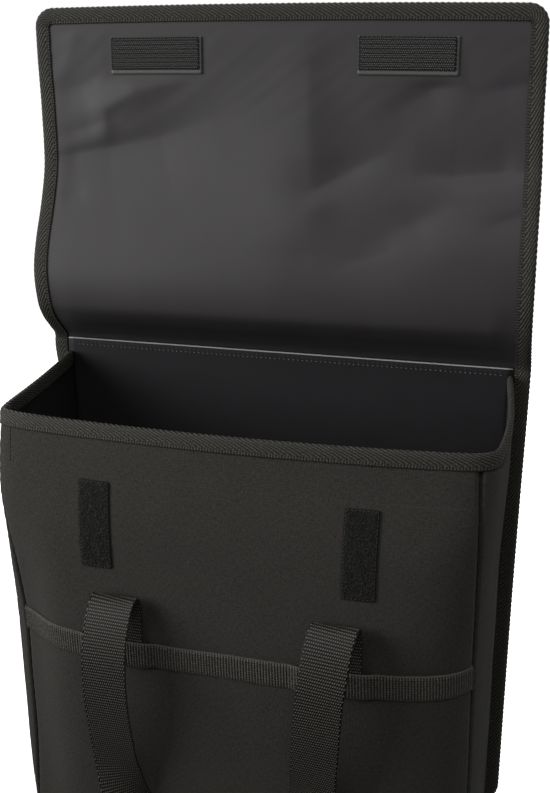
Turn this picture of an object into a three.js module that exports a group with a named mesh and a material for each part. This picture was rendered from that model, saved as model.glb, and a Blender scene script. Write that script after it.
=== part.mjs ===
// A single bicycle pannier of coated cloth, standing on its base with the flap folded up.
// Millimetres, +Z up. The origin is the middle of the base on the floor. The front, with the
// webbing handle, faces -Y, and the back, with the rack hooks, faces +Y.
import * as THREE from "three";
import { mergeVertices } from "three/addons/utils/BufferGeometryUtils.js";

// Overall sizes
const BACK_WIDTH = 378; // back panel and flap, over the binding
const HINGE_HEIGHT = 380; // floor to the line where the flap folds
const FLAP_RISE = 256; // hinge to the flap's outer edge
const LINER_Y = 65; // front face of the liner, where the sides of the bag end
const FRONT_MOUTH_HEIGHT = 354; // bound top edge of the front
const BACK_MOUTH_HEIGHT = 370; // bound top edge of the sides, where they meet the back

// Thicknesses and clearances
const CLOTH = 1.6; // coated cloth of the front and the sides
const SPINE = 2; // stiffened cloth of the back panel and the flap
const LINER = 1.2; // smooth sheet inside the back panel
const BASE = 2; // bottom panel
const TAPE = 1; // binding tape
const GAP = 0.3; // between neighbouring pieces
const BAND_GAP = 0.8; // from the front to the band, which bends more evenly
const TAPE_GAP = 0.8; // between the binding tape and the cloth that it wraps
const FLOOR_GAP = 0.6; // under the binding of the back panel
const SIDE_END_GAP = 0.8; // from the back edges of the sides to the liner
const TAPE_END_GAP = 3; // from the ends of the mouth binding to the liner

// Binding
const BINDING_COVER = 12; // visible width of the tape on each face
const TOP_CORNER_RADIUS = 14; // upper corners of the flap
const FOOT_CORNER_RADIUS = 20; // lower corners of the back panel

// Trim on the front
const BAND_TOP = 198.5;
const BAND_WIDTH = 19.5;
const BAND = 1.2; // thickness
const LOOP_PATCH = { x: 96, bottom: 252, width: 24, height: 62, thickness: 2 };
const LEFT_PATCH_SLANT = 4; // its foot is sewn this much nearer the middle
const HOOK_PATCH = { x: 94, rise: 220.5, width: 71, height: 26, thickness: 1.8 };

// Handle webbing
const WEBBING_WIDTH = 33;
const WEBBING = 1.8; // thickness
const HANDLE_X = 80; // middle of each sewn end

// Rack hooks
const RACK_HOOK = {
  x: 95,
  width: 24,
  steel: 3,
  plateBottom: 285,
  seatHeight: 342, // underside that lies on the rack tube
  channel: 16, // clear width for the rack tube
  chamfer: 3, // inside corners beside the seat
  tip: 26, // drop of the outer leg below the seat
};

// Mesh fineness
const FRONT_COLUMNS = 22;
const SIDE_COLUMNS = 10;
const WALL_ROWS = 15;
const FLAP_COLUMNS = 22;
const FLAP_ROWS = 17;
const CORNER_STEPS = 4;
const BAND_COLUMNS = 48;
const HANDLE_STEPS = 84;

// Plan of the body at each height above the floor. left and right are the half widths at the
// front corners, depth runs from the liner to the front, bow is the extra swell in the middle of
// the front, squareness sets how tight the front corners are, and cut is how far the left one is
// pushed in. seamLeft and seamRight are measured along the cloth from the middle of the front, and
// tuckLeft and tuckRight are how far the sides are drawn in half way back.
const BODY_SECTIONS = [
  {
    height: 0, left: 182, right: 178, depth: 134, bow: 3, squareness: 8,
    cut: 8, seamLeft: 180, seamRight: 188, tuckLeft: -3, tuckRight: 0,
  },
  {
    height: 60, left: 185, right: 179, depth: 143, bow: 3, squareness: 6.8,
    cut: 11, seamLeft: 174.5, seamRight: 187.5, tuckLeft: -5, tuckRight: 2,
  },
  {
    height: 130, left: 187, right: 180, depth: 147, bow: 3, squareness: 6.2,
    cut: 12, seamLeft: 174, seamRight: 186, tuckLeft: -5, tuckRight: 3,
  },
  {
    height: 198, left: 188, right: 180, depth: 147, bow: 4, squareness: 6.2,
    cut: 12, seamLeft: 176, seamRight: 183.5, tuckLeft: -6, tuckRight: 3,
  },
  {
    height: 240, left: 188.5, right: 180.5, depth: 144.5, bow: 4.5, squareness: 7.5,
    cut: 8, seamLeft: 176, seamRight: 181, tuckLeft: -2, tuckRight: 2,
  },
  {
    height: 283, left: 189, right: 181, depth: 141, bow: 5, squareness: 9,
    cut: 2, seamLeft: 179, seamRight: 178.5, tuckLeft: 0, tuckRight: 0,
  },
  {
    height: 330, left: 187.5, right: 181, depth: 125, bow: 11, squareness: 16,
    cut: 0, seamLeft: 174, seamRight: 172.5, tuckLeft: 1, tuckRight: -5,
  },
  {
    height: 356, left: 185.5, right: 180, depth: 117, bow: 13, squareness: 20,
    cut: 0, seamLeft: 172, seamRight: 172, tuckLeft: 2, tuckRight: -5,
  },
  {
    height: 372, left: 184.5, right: 180, depth: 113, bow: 13, squareness: 20,
    cut: 0, seamLeft: 172, seamRight: 172, tuckLeft: 2, tuckRight: -4,
  },
];
const SIDE_BACK = 178.5; // half width of the body where it meets the liner
const CUT_PLACE = -0.86; // middle of the pushed-in corner, as a share of the half width
const CUT_REACH = 0.12;

// Lean of the flap towards the front at each height above the hinge, at its two side edges.
const FLAP_LEAN = [
  { rise: 0, left: 0, right: 0 },
  { rise: 6, left: 2, right: 1.5 },
  { rise: 14, left: 10, right: 6 },
  { rise: 26, left: 25, right: 15 },
  { rise: 38, left: 34, right: 22 },
  { rise: 60, left: 35, right: 28 },
  { rise: 84, left: 27, right: 27 },
  { rise: 114, left: 16, right: 20 },
  { rise: 152, left: 8, right: 10 },
  { rise: 204, left: 5, right: 5 },
  { rise: 256, left: 5, right: 4 },
];

// Soft folds of the flap, each a ridge from one point to another. Points are given from the
// middle of the hinge, reach is the half width of the ridge and swell its height to the front.
const FLAP_FOLDS = [
  { fromX: -174, fromRise: 147, toX: -90, toRise: 168, reach: 11, swell: -4 },
  { fromX: -136, fromRise: 172, toX: -84, toRise: 199, reach: 13, swell: -4 },
  { fromX: 10, fromRise: 205, toX: 13, toRise: 134, reach: 12, swell: 3 },
  { fromX: 46, fromRise: 203, toX: 37, toRise: 142, reach: 16, swell: -5 },
  { fromX: 178, fromRise: 200, toX: 120, toRise: 190, reach: 12, swell: -3 },
  { fromX: 178, fromRise: 168, toX: 112, toRise: 149, reach: 16, swell: -4 },
  { fromX: 122, fromRise: 122, toX: 52, toRise: 72, reach: 15, swell: -4 },
  { fromX: 158, fromRise: 96, toX: 80, toRise: 56, reach: 15, swell: 3 },
];

// Middle line of one half of the handle, from its sewn end behind the band, over the fold and
// down to the lowest point of the loop. clear is measured out from the front panel, x from the
// middle of the loop, drift is how far the hanging loop lies to the left, and turn is how far
// the webbing has twisted, in degrees, from lying flat against the front.
const HANDLE_LINE = [
  { height: 182, clear: 1.35, x: HANDLE_X, drift: -4, turn: -2 },
  { height: 199, clear: 1.35, x: HANDLE_X, drift: -4, turn: -2 },
  { height: 216, clear: 1.6, x: HANDLE_X, drift: -4, turn: -2 },
  { height: 229, clear: 3, x: HANDLE_X, drift: -3.5, turn: -1 },
  { height: 234.5, clear: 7, x: 80, drift: -3, turn: 0 },
  { height: 232, clear: 13, x: 80, drift: -2, turn: 0 },
  { height: 222, clear: 19.5, x: 79.5, drift: -1, turn: 0 },
  { height: 206, clear: 24.5, x: 79, drift: 0, turn: 0 },
  { height: 188, clear: 27, x: 78, drift: 1, turn: 0 },
  { height: 160, clear: 27.5, x: 77, drift: 2, turn: 1 },
  { height: 130, clear: 26.5, x: 75, drift: 3, turn: 4 },
  { height: 98, clear: 23, x: 70, drift: 3.5, turn: 12 },
  { height: 68, clear: 21, x: 58, drift: 4, turn: 36 },
  { height: 46, clear: 21, x: 35, drift: 4, turn: 70 },
  { height: 39, clear: 21, x: 0, drift: 4, turn: 90 },
];

// Value of one column of a table at a place in its key column, on a smooth curve through the rows.
function smoothColumn(rows, key, name, at) {
  const last = rows.length - 1;
  const slope = (i) => {
    const before = rows[Math.max(i - 1, 0)];
    const after = rows[Math.min(i + 1, last)];
    return (after[name] - before[name]) / (after[key] - before[key]);
  };
  const place = THREE.MathUtils.clamp(at, rows[0][key], rows[last][key]);
  let i = 0;
  while (i < last - 1 && rows[i + 1][key] < place) i += 1;
  const span = rows[i + 1][key] - rows[i][key];
  const t = (place - rows[i][key]) / span;
  const ease = t * t * (3 - 2 * t);
  const level = rows[i][name] * (1 - ease) + rows[i + 1][name] * ease;
  return level + span * t * (1 - t) * (slope(i) * (1 - t) - slope(i + 1) * t);
}

// Moves every corner of a closed solid by a function of its place, which keeps it closed.
function bend(geometry, place) {
  geometry.deleteAttribute("normal");
  geometry.deleteAttribute("uv");
  const solid = mergeVertices(geometry);
  const position = solid.getAttribute("position");
  for (let i = 0; i < position.count; i += 1) {
    const moved = place(position.getX(i), position.getY(i), position.getZ(i));
    position.setXYZ(i, moved.x, moved.y, moved.z);
  }
  solid.computeVertexNormals();
  return solid;
}

// A sheet of cloth: place gets the shares across, up and through it, each from 0 to 1.
function sheet(columns, rows, place) {
  const flat = new THREE.BoxGeometry(1, 1, 1, columns, rows, 1);
  return bend(flat, (x, y, z) => place(x + 0.5, y + 0.5, z + 0.5));
}

// A folded tape of one section along a line of stations. Each station has a point on the edge
// of the cloth and the cloth's normal, and the section's x points into the cloth.
function tape(section, stations) {
  const steps = stations.length - 1;
  const frames = stations.map(({ point, normal }, i) => {
    const before = stations[Math.max(i - 1, 0)].point;
    const after = stations[Math.min(i + 1, steps)].point;
    const along = after.clone().sub(before).normalize();
    const out = normal.clone().addScaledVector(along, -normal.dot(along)).normalize();
    return { point, out, inward: out.clone().cross(along) };
  });
  const straight = new THREE.ExtrudeGeometry(section, { depth: 1, steps, bevelEnabled: false });
  return bend(straight, (x, y, z) => {
    const { point, out, inward } = frames[Math.round(z * steps)];
    return point.clone().addScaledVector(inward, x).addScaledVector(out, y);
  });
}

// The U-shaped section of a binding tape round cloth of one thickness.
function bindingSection(cloth) {
  const inside = cloth / 2 + TAPE_GAP;
  const web = TAPE_GAP + TAPE;
  const lip = BINDING_COVER - web;
  const upper = [
    [lip, inside + TAPE],
    [-TAPE_GAP, inside + TAPE],
    [-web, inside],
  ];
  const lower = upper.map(([x, y]) => [x, -y]).reverse();
  const hollow = [
    [lip, -inside],
    [-TAPE_GAP, -inside],
    [-TAPE_GAP, inside],
    [lip, inside],
  ];
  return new THREE.Shape([...upper, ...lower, ...hollow].map(([x, y]) => new THREE.Vector2(x, y)));
}

// The unit normal of a surface at one place, from short steps along its two directions.
function surfaceNormal(surface, across, up) {
  const step = 0.5;
  const sideways = surface(across + step, up).sub(surface(across - step, up));
  const upward = surface(across, up + step).sub(surface(across, up - step));
  return sideways.cross(upward).normalize();
}

// Outline of the body at one height, from the left end of the liner round the front to the right.
class BodySection extends THREE.Curve {
  constructor(height) {
    super();
    this.height = height;
    this.arcLengthDivisions = 400;
    for (const name of Object.keys(BODY_SECTIONS[0]).filter((key) => key !== "height")) {
      this[name] = smoothColumn(BODY_SECTIONS, "height", name, height);
    }
  }

  getPoint(share, target = new THREE.Vector3()) {
    const angle = Math.PI * (1 - share);
    const power = this.squareness;
    const corner = share < 0.5 ? this.left : this.right;
    const widthPart = Math.abs(Math.cos(angle) / corner) ** power;
    const depthPart = Math.abs(Math.sin(angle) / this.depth) ** power;
    const reach = (widthPart + depthPart) ** (-1 / power);
    const across = (reach * Math.cos(angle)) / corner;
    const forward = (reach * Math.sin(angle)) / this.depth;
    const halfWidth = THREE.MathUtils.lerp(SIDE_BACK, corner, Math.min(forward, 1));
    const tuck = share < 0.5 ? this.tuckLeft : this.tuckRight;
    const drawn = tuck * Math.sin(Math.PI * Math.min(forward, 1)) * across ** 8;
    const x = across * halfWidth - Math.sign(across) * drawn;
    const pushed = this.cut * Math.exp(-(((across - CUT_PLACE) / CUT_REACH) ** 2));
    const front = forward * (this.depth + this.bow * (1 - across * across) - pushed);
    return target.set(x, LINER_Y - front, this.height);
  }

  // Length of the cloth from the middle of the front to the left (-1) or right (1) end.
  sideLength(side) {
    const left = this.getLengths()[this.arcLengthDivisions / 2];
    return side < 0 ? left : this.getLength() - left;
  }
}

const sectionCache = new Map();

function sectionAt(height) {
  if (!sectionCache.has(height)) sectionCache.set(height, new BodySection(height));
  return sectionCache.get(height);
}

// Outer face of the body wall at a distance along the cloth from the middle of the front.
function wall(along, height) {
  const section = sectionAt(height);
  const share = (section.sideLength(-1) + along) / section.getLength();
  return section.getPointAt(THREE.MathUtils.clamp(share, 0, 1));
}

// A point of the body's cloth, off its outer face by some distance.
function offWall(along, height, distance) {
  return wall(along, height).addScaledVector(surfaceNormal(wall, along, height), distance);
}

const clothTop = (mouthHeight) => mouthHeight - TAPE - TAPE_GAP;
const wallFoot = BASE + GAP;
const bindingWeb = TAPE + TAPE_GAP;

// Length of the cloth from the middle of the front to the left (-1) or right (1) seam.
const seamLength = (side, height) => sectionAt(height)[side < 0 ? "seamLeft" : "seamRight"];

// A place at some share of the way from the left seam to the right one, less a margin at each.
function betweenSeams(share, height, margin) {
  const left = seamLength(-1, height) - margin;
  const right = seamLength(1, height) - margin;
  return THREE.MathUtils.lerp(-left, right, share);
}

// The front panel runs from seam to seam.
function frontCloth(across, height, distance) {
  return offWall(betweenSeams(across, height, GAP / 2), height, distance);
}

// A side runs from the seam (share 0), round the front corner, to the liner (share 1).
const SIDE_CROWDING = 1.7; // sets the columns closer together at the corner
const CORNER_SHARE = 0.14; // where the side has turned the corner

function sideAlong(side, share, height) {
  const start = seamLength(side, height) + GAP / 2;
  const end = sectionAt(height).sideLength(side) - SIDE_END_GAP;
  return side * (start + (end - start) * share ** SIDE_CROWDING);
}

function sideTop(share) {
  const turned = Math.max(share ** SIDE_CROWDING - CORNER_SHARE, 0) / (1 - CORNER_SHARE);
  return clothTop(FRONT_MOUTH_HEIGHT + (BACK_MOUTH_HEIGHT - FRONT_MOUTH_HEIGHT) * turned);
}

function makeFrontPanel() {
  const top = clothTop(FRONT_MOUTH_HEIGHT);
  return sheet(FRONT_COLUMNS, WALL_ROWS, (across, up, through) =>
    frontCloth(across, wallFoot + (top - wallFoot) * up, (through - 1) * CLOTH),
  );
}

function makeSide(side) {
  return sheet(SIDE_COLUMNS, WALL_ROWS, (across, up, through) => {
    const share = side > 0 ? across : 1 - across;
    const height = wallFoot + (sideTop(share) - wallFoot) * up;
    return offWall(sideAlong(side, share, height), height, (through - 1) * CLOTH);
  });
}

// The binding over the mouth runs from the right end of the liner round to the left end.
function sideMouth(side) {
  const places = [];
  for (let i = 0; i <= SIDE_COLUMNS; i += 1) {
    const share = i / SIDE_COLUMNS;
    const height = sideTop(share);
    const end = sectionAt(height).sideLength(side) - TAPE_END_GAP;
    const along = Math.min(Math.abs(sideAlong(side, share, height)), end);
    places.push({ along: side * along, height });
  }
  return places;
}

function makeMouthBinding() {
  const height = clothTop(FRONT_MOUTH_HEIGHT);
  const front = [];
  for (let i = FRONT_COLUMNS - 1; i > 0; i -= 1) {
    front.push({ along: betweenSeams(i / FRONT_COLUMNS, height, 0), height });
  }
  const stations = [...sideMouth(1).reverse(), ...front, ...sideMouth(-1)].map((place) => ({
    point: offWall(place.along, place.height, -CLOTH / 2),
    normal: surfaceNormal(wall, place.along, place.height),
  }));
  return tape(bindingSection(CLOTH), stations);
}

function makeBottomPanel() {
  const section = sectionAt(0);
  const rim = section.getSpacedPoints(2 * FRONT_COLUMNS + 2 * SIDE_COLUMNS);
  const outline = rim.map(({ x, y }) => new THREE.Vector2(x, Math.min(y, LINER_Y - GAP)));
  return new THREE.ExtrudeGeometry(new THREE.Shape(outline), { depth: BASE, bevelEnabled: false });
}

// The spine is the back panel with the flap above it: one surface from the floor to the flap's edge.
const spineHalfWidth = BACK_WIDTH / 2 - bindingWeb;
const spineTop = FLAP_RISE - bindingWeb;
const spineFoot = FLOOR_GAP + bindingWeb - HINGE_HEIGHT;
const topRadius = TOP_CORNER_RADIUS - bindingWeb;
const footRadius = FOOT_CORNER_RADIUS - bindingWeb;
const spineY = LINER_Y + LINER + GAP + SPINE / 2;

// Swell of all the soft folds at one place of the flap. It dies out under the binding and under
// the hook patches, which keep the cloth flat.
const FLAT_MARGIN = 2; // the cloth is flat this far beyond them
const FLAT_FADE = 16; // the folds reach their full height over this distance more

function foldSwell(x, rise) {
  const fromEdge = Math.min(spineHalfWidth - Math.abs(x), spineTop - rise, rise) - BINDING_COVER;
  const besidePatch = Math.abs(Math.abs(x) - HOOK_PATCH.x) - HOOK_PATCH.width / 2;
  const belowPatch = Math.abs(rise - HOOK_PATCH.rise) - HOOK_PATCH.height / 2;
  const room = Math.min(fromEdge, Math.max(besidePatch, belowPatch));
  const clear = THREE.MathUtils.smoothstep(room, FLAT_MARGIN, FLAT_MARGIN + FLAT_FADE);
  let total = 0;
  for (const fold of FLAP_FOLDS) {
    const line = new THREE.Vector2(fold.toX - fold.fromX, fold.toRise - fold.fromRise);
    const here = new THREE.Vector2(x - fold.fromX, rise - fold.fromRise);
    const along = THREE.MathUtils.clamp(here.dot(line) / line.lengthSq(), 0, 1);
    const away = here.addScaledVector(line, -along).length() / fold.reach;
    total += fold.swell * Math.exp(-away * away);
  }
  return total * clear;
}

function spine(x, rise) {
  if (rise <= 0) return new THREE.Vector3(x, spineY, HINGE_HEIGHT + rise);
  const left = smoothColumn(FLAP_LEAN, "rise", "left", rise);
  const right = smoothColumn(FLAP_LEAN, "rise", "right", rise);
  const lean = THREE.MathUtils.lerp(left, right, x / BACK_WIDTH + 0.5);
  return new THREE.Vector3(x, spineY - lean - foldSwell(x, rise), HINGE_HEIGHT + rise);
}

function offSpine(x, rise, distance) {
  return spine(x, rise).addScaledVector(surfaceNormal(spine, x, rise), distance);
}

// Heights of the flap's rows, closer together at the hinge and round the top corners.
const FLAP_CROWDING = 1.35;
const flapRows = [];
for (let i = 0; i <= FLAP_ROWS; i += 1) {
  const rise = GAP / 2 + (spineTop - topRadius - GAP / 2) * (i / FLAP_ROWS) ** FLAP_CROWDING;
  flapRows.push({ rise, halfWidth: spineHalfWidth });
}
for (let i = 1; i <= CORNER_STEPS; i += 1) {
  const angle = (i / CORNER_STEPS) * (Math.PI / 2);
  const rise = spineTop - topRadius * (1 - Math.sin(angle));
  flapRows.push({ rise, halfWidth: spineHalfWidth - topRadius * (1 - Math.cos(angle)) });
}

function makeFlap() {
  const last = flapRows.length - 1;
  return sheet(FLAP_COLUMNS, last, (across, up, through) => {
    const { rise, halfWidth } = flapRows[Math.round(up * last)];
    return offSpine((2 * across - 1) * halfWidth, rise, (through - 0.5) * SPINE);
  });
}

// A flat panel in the upright plane, from an outline in x and height.
function uprightPanel(outline, thickness, frontY) {
  const panel = new THREE.ExtrudeGeometry(outline, { depth: thickness, bevelEnabled: false });
  panel.rotateX(Math.PI / 2);
  panel.translate(0, frontY + thickness, 0);
  return panel;
}

function makeBackPanel() {
  const foot = HINGE_HEIGHT + spineFoot;
  const top = HINGE_HEIGHT - GAP / 2;
  const outline = new THREE.Shape();
  outline.moveTo(spineHalfWidth, top);
  outline.lineTo(-spineHalfWidth, top);
  outline.lineTo(-spineHalfWidth, foot + footRadius);
  outline.absarc(footRadius - spineHalfWidth, foot + footRadius, footRadius, Math.PI, 1.5 * Math.PI);
  outline.lineTo(spineHalfWidth - footRadius, foot);
  outline.absarc(spineHalfWidth - footRadius, foot + footRadius, footRadius, 1.5 * Math.PI, 2 * Math.PI);
  return uprightPanel(outline, SPINE, spineY - SPINE / 2);
}

function makeBackLiner() {
  const halfWidth = BACK_WIDTH / 2 - BINDING_COVER - GAP;
  const foot = FLOOR_GAP + BINDING_COVER + GAP;
  const outline = new THREE.Shape();
  outline.moveTo(-halfWidth, HINGE_HEIGHT);
  outline.lineTo(-halfWidth, foot + footRadius);
  outline.lineTo(footRadius - halfWidth, foot);
  outline.lineTo(halfWidth - footRadius, foot);
  outline.lineTo(halfWidth, foot + footRadius);
  outline.lineTo(halfWidth, HINGE_HEIGHT);
  return uprightPanel(outline, LINER, LINER_Y);
}

// The binding round the flap and the back panel starts and ends at the middle of the foot.
function makeEdgeBinding() {
  const places = [
    { x: GAP, rise: spineFoot },
    { x: (spineHalfWidth - footRadius) / 2, rise: spineFoot },
  ];
  for (let i = 0; i <= CORNER_STEPS; i += 1) {
    const angle = (i / CORNER_STEPS) * (Math.PI / 2);
    const x = spineHalfWidth - footRadius * (1 - Math.sin(angle));
    places.push({ x, rise: spineFoot + footRadius * (1 - Math.cos(angle)) });
  }
  places.push({ x: spineHalfWidth, rise: spineFoot / 2 });
  places.push({ x: spineHalfWidth, rise: -BINDING_COVER });
  for (const { rise, halfWidth } of flapRows) places.push({ x: halfWidth, rise });
  for (let i = FLAP_COLUMNS - 2; i > FLAP_COLUMNS / 2; i -= 2) {
    places.push({ x: flapRows.at(-1).halfWidth * ((2 * i) / FLAP_COLUMNS - 1), rise: spineTop });
  }
  const mirrored = places.map(({ x, rise }) => ({ x: -x, rise })).reverse();
  const stations = [...places, ...mirrored].map(({ x, rise }) => ({
    point: spine(x, rise),
    normal: surfaceNormal(spine, x, rise),
  }));
  return tape(bindingSection(SPINE), stations);
}

// The band lies on the front and humps over the sewn ends of the handle.
function makeFrontBand() {
  const plateau = WEBBING_WIDTH / 2 + 7;
  const ramp = 9;
  const hump = (along) =>
    1 - THREE.MathUtils.smoothstep(Math.abs(Math.abs(along) - HANDLE_X), plateau, plateau + ramp);
  return sheet(BAND_COLUMNS, 1, (across, up, through) => {
    const height = BAND_TOP - BAND_WIDTH * (1 - up);
    const along = betweenSeams(across, height, GAP);
    const seat = BAND_GAP + (WEBBING + GAP) * hump(along);
    return offWall(along, height, seat + through * BAND);
  });
}

function makeLoopPatch(side) {
  const { x, bottom, width, height, thickness } = LOOP_PATCH;
  const slant = side < 0 ? LEFT_PATCH_SLANT : 0;
  return sheet(2, 6, (across, up, through) => {
    const along = side * x + (across - 0.5) * width + slant * (0.5 - up);
    return offWall(along, bottom + up * height, GAP + through * thickness);
  });
}

function makeHookPatch(side) {
  const { x, rise, width, height, thickness } = HOOK_PATCH;
  return sheet(6, 2, (across, up, through) =>
    offSpine(
      side * x + (across - 0.5) * width,
      rise + (up - 0.5) * height,
      SPINE / 2 + GAP + through * thickness,
    ),
  );
}

// The handle is one strip of webbing: flat where it is sewn and hangs, on edge at the lowest point.
function makeHandle() {
  const leg = (side) =>
    HANDLE_LINE.map(({ height, clear, x, drift, turn }) => ({
      point: new THREE.Vector3(side * x - drift, wall(side * x, height).y - clear, height),
      turn: side > 0 ? turn : 180 - turn,
    }));
  const knots = [...leg(1), ...leg(-1).slice(0, -1).reverse()];
  const line = new THREE.CatmullRomCurve3(knots.map(({ point }) => point), false, "centripetal");
  const turns = knots.map(({ turn }, i) => ({ share: i / (knots.length - 1), turn }));
  const ribbon = new THREE.BoxGeometry(1, 1, 1, 1, 1, HANDLE_STEPS);
  return bend(ribbon, (x, y, z) => {
    const share = line.getUtoTmapping(z + 0.5);
    const along = line.getTangent(share);
    const turn = THREE.MathUtils.degToRad(smoothColumn(turns, "share", "turn", share));
    const broad = new THREE.Vector3(Math.cos(turn), -Math.sin(turn), 0);
    broad.addScaledVector(along, -broad.dot(along)).normalize();
    const thick = along.clone().cross(broad);
    const point = line.getPoint(share);
    return point.addScaledVector(broad, x * WEBBING_WIDTH).addScaledVector(thick, y * WEBBING);
  });
}

// A rack hook is a bent steel strip: a plate on the back panel, a bridge with the seat under it
// and an outer leg.
function makeRackHook(side) {
  const { x, width, steel, plateBottom, seatHeight, channel, chamfer, tip } = RACK_HOOK;
  const plateY = spineY + SPINE / 2 + GAP;
  const inner = plateY + steel;
  const outer = inner + channel;
  const top = seatHeight + steel;
  const bottom = seatHeight - tip;
  const outline = new THREE.Shape();
  outline.moveTo(plateY, plateBottom);
  outline.lineTo(inner, plateBottom);
  outline.lineTo(inner, seatHeight - chamfer);
  outline.lineTo(inner + chamfer, seatHeight);
  outline.lineTo(outer - chamfer, seatHeight);
  outline.lineTo(outer, seatHeight - chamfer);
  outline.lineTo(outer, bottom + steel);
  outline.lineTo(outer + steel / 2, bottom);
  outline.lineTo(outer + steel, bottom + steel);
  outline.lineTo(outer + steel, seatHeight - steel);
  outline.absarc(outer - steel, seatHeight - steel, 2 * steel, 0, Math.PI / 2);
  outline.lineTo(plateY, top);
  const hook = new THREE.ExtrudeGeometry(outline, { depth: width, bevelEnabled: false, curveSegments: 5 });
  const turned = new THREE.Matrix4().makeBasis(
    new THREE.Vector3(0, 1, 0),
    new THREE.Vector3(0, 0, 1),
    new THREE.Vector3(1, 0, 0),
  );
  hook.applyMatrix4(turned);
  hook.translate(side * x - width / 2, 0, 0);
  return hook;
}

function material(color, roughness, metalness = 0) {
  return new THREE.MeshStandardMaterial({ color, roughness, metalness });
}

const pannier = new THREE.Group();

function add(name, geometry, finish) {
  const mesh = new THREE.Mesh(geometry, finish);
  mesh.name = name;
  pannier.add(mesh);
}

add("back_panel", makeBackPanel(), material(0x2b2a28, 0.85));
add("back_liner", makeBackLiner(), material(0x202022, 0.5));
add("flap", makeFlap(), material(0x444144, 0.55));
add("edge_binding", makeEdgeBinding(), material(0x2d2a24, 0.9));
add("front_panel", makeFrontPanel(), material(0x302e2b, 0.85));
add("bottom_panel", makeBottomPanel(), material(0x262523, 0.85));
add("mouth_binding", makeMouthBinding(), material(0x34312b, 0.9));
add("front_band", makeFrontBand(), material(0x33312d, 0.85));
add("handle", makeHandle(), material(0x3a3834, 0.8));
for (const [name, side] of [["left", -1], ["right", 1]]) {
  add(`side_${name}`, makeSide(side), material(0x2e2c29, 0.85));
  add(`loop_patch_${name}`, makeLoopPatch(side), material(0x161615, 0.95));
  add(`hook_patch_${name}`, makeHookPatch(side), material(0x1f1e1e, 0.85));
  add(`rack_hook_${name}`, makeRackHook(side), material(0x1a1a1a, 0.45, 0.6));
}

export default pannier;
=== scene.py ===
# %% [markdown]
# A bicycle pannier, dressed for a studio portrait
#
# The bag stands open on its base with its flap folded up. Its solids are packed at their true size,
# and this script loads them, gives each one a finer surface of cloth, tape or webbing, and lights
# the result. Every piece keeps its place in its mesh, in metres, with the middle of the base at
# the origin, the front towards -Y and the back towards +Y.

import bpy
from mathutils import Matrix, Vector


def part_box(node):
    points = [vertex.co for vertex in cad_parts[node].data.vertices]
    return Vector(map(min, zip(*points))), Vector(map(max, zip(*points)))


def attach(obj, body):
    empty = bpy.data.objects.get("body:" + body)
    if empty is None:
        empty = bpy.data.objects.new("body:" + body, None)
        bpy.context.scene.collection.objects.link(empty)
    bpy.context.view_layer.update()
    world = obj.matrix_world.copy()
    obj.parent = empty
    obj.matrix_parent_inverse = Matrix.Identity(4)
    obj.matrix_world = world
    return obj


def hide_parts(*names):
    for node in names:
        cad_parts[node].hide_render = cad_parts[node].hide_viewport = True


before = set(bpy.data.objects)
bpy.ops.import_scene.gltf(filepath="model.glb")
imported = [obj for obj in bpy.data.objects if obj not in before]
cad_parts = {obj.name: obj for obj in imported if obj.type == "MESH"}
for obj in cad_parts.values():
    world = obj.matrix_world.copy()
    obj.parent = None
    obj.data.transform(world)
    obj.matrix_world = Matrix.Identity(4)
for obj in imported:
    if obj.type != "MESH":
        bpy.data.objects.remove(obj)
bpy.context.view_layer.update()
print("solids to dress:", len(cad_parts))

# %% Tools for numbers and meshes
import math
from functools import lru_cache, partial

import bmesh
import bpy
import numpy as np
from mathutils import Vector, noise

MM = 0.001  # the shape functions below work in millimetres, and meshes are stored in metres
scene = bpy.context.scene
print("Blender", bpy.app.version_string)

# %% [markdown]
# Camera
#
# The photograph was taken from in front of the bag, a little to its right and above its mouth. A
# long lens from far away would flatten the bag, and a wide one would stretch the flap, so the lens
# and the distance are the pair that gives the same shrinking from the front to the back.

# %% Camera
CAMERA_PLACE = (0.22768, -0.74844, 0.60299)
CAMERA_DOWN = 17.07  # degrees below level
CAMERA_LEFT = 15.87  # degrees turned to the left
CAMERA_LENS = 50.7  # millimetres
SENSOR_WIDTH = 36


def add_camera():
    data = bpy.data.cameras.new("portrait")
    data.sensor_width = SENSOR_WIDTH
    data.lens = CAMERA_LENS
    camera = bpy.data.objects.new("portrait", data)
    camera.location = CAMERA_PLACE
    camera.rotation_euler = (math.radians(90 - CAMERA_DOWN), 0, math.radians(CAMERA_LEFT))
    scene.collection.objects.link(camera)
    scene.camera = camera


add_camera()
print("camera", round(Vector(CAMERA_PLACE).length, 3), "m from the middle of the base")

# %% [markdown]
# Light and floor
#
# Black cloth only shows its form by soft reflections. One large light at the left front shapes the
# flap and the rolled handle, and weaker ones open the right side, the inside and the back. The
# camera sees a white room, but little of that white reaches the cloth, so the shadows stay deep.
# Plain colours are shown without a film curve, so that the near-black tones stay where they are.

# %% Soft studio light
scene.view_settings.view_transform = "Standard"


def softbox(name, place, aim_height, size, power, spread):
    """A square light aimed at a height over the middle of the base. A small spread falls off sooner."""
    data = bpy.data.lights.new(name, "AREA")
    data.size = size
    data.energy = power
    data.spread = math.radians(spread)
    light = bpy.data.objects.new(name, data)
    light.location = place
    aim = Vector((0, 0, aim_height)) - Vector(place)
    light.rotation_euler = aim.to_track_quat("-Z", "Y").to_euler()
    scene.collection.objects.link(light)


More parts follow.
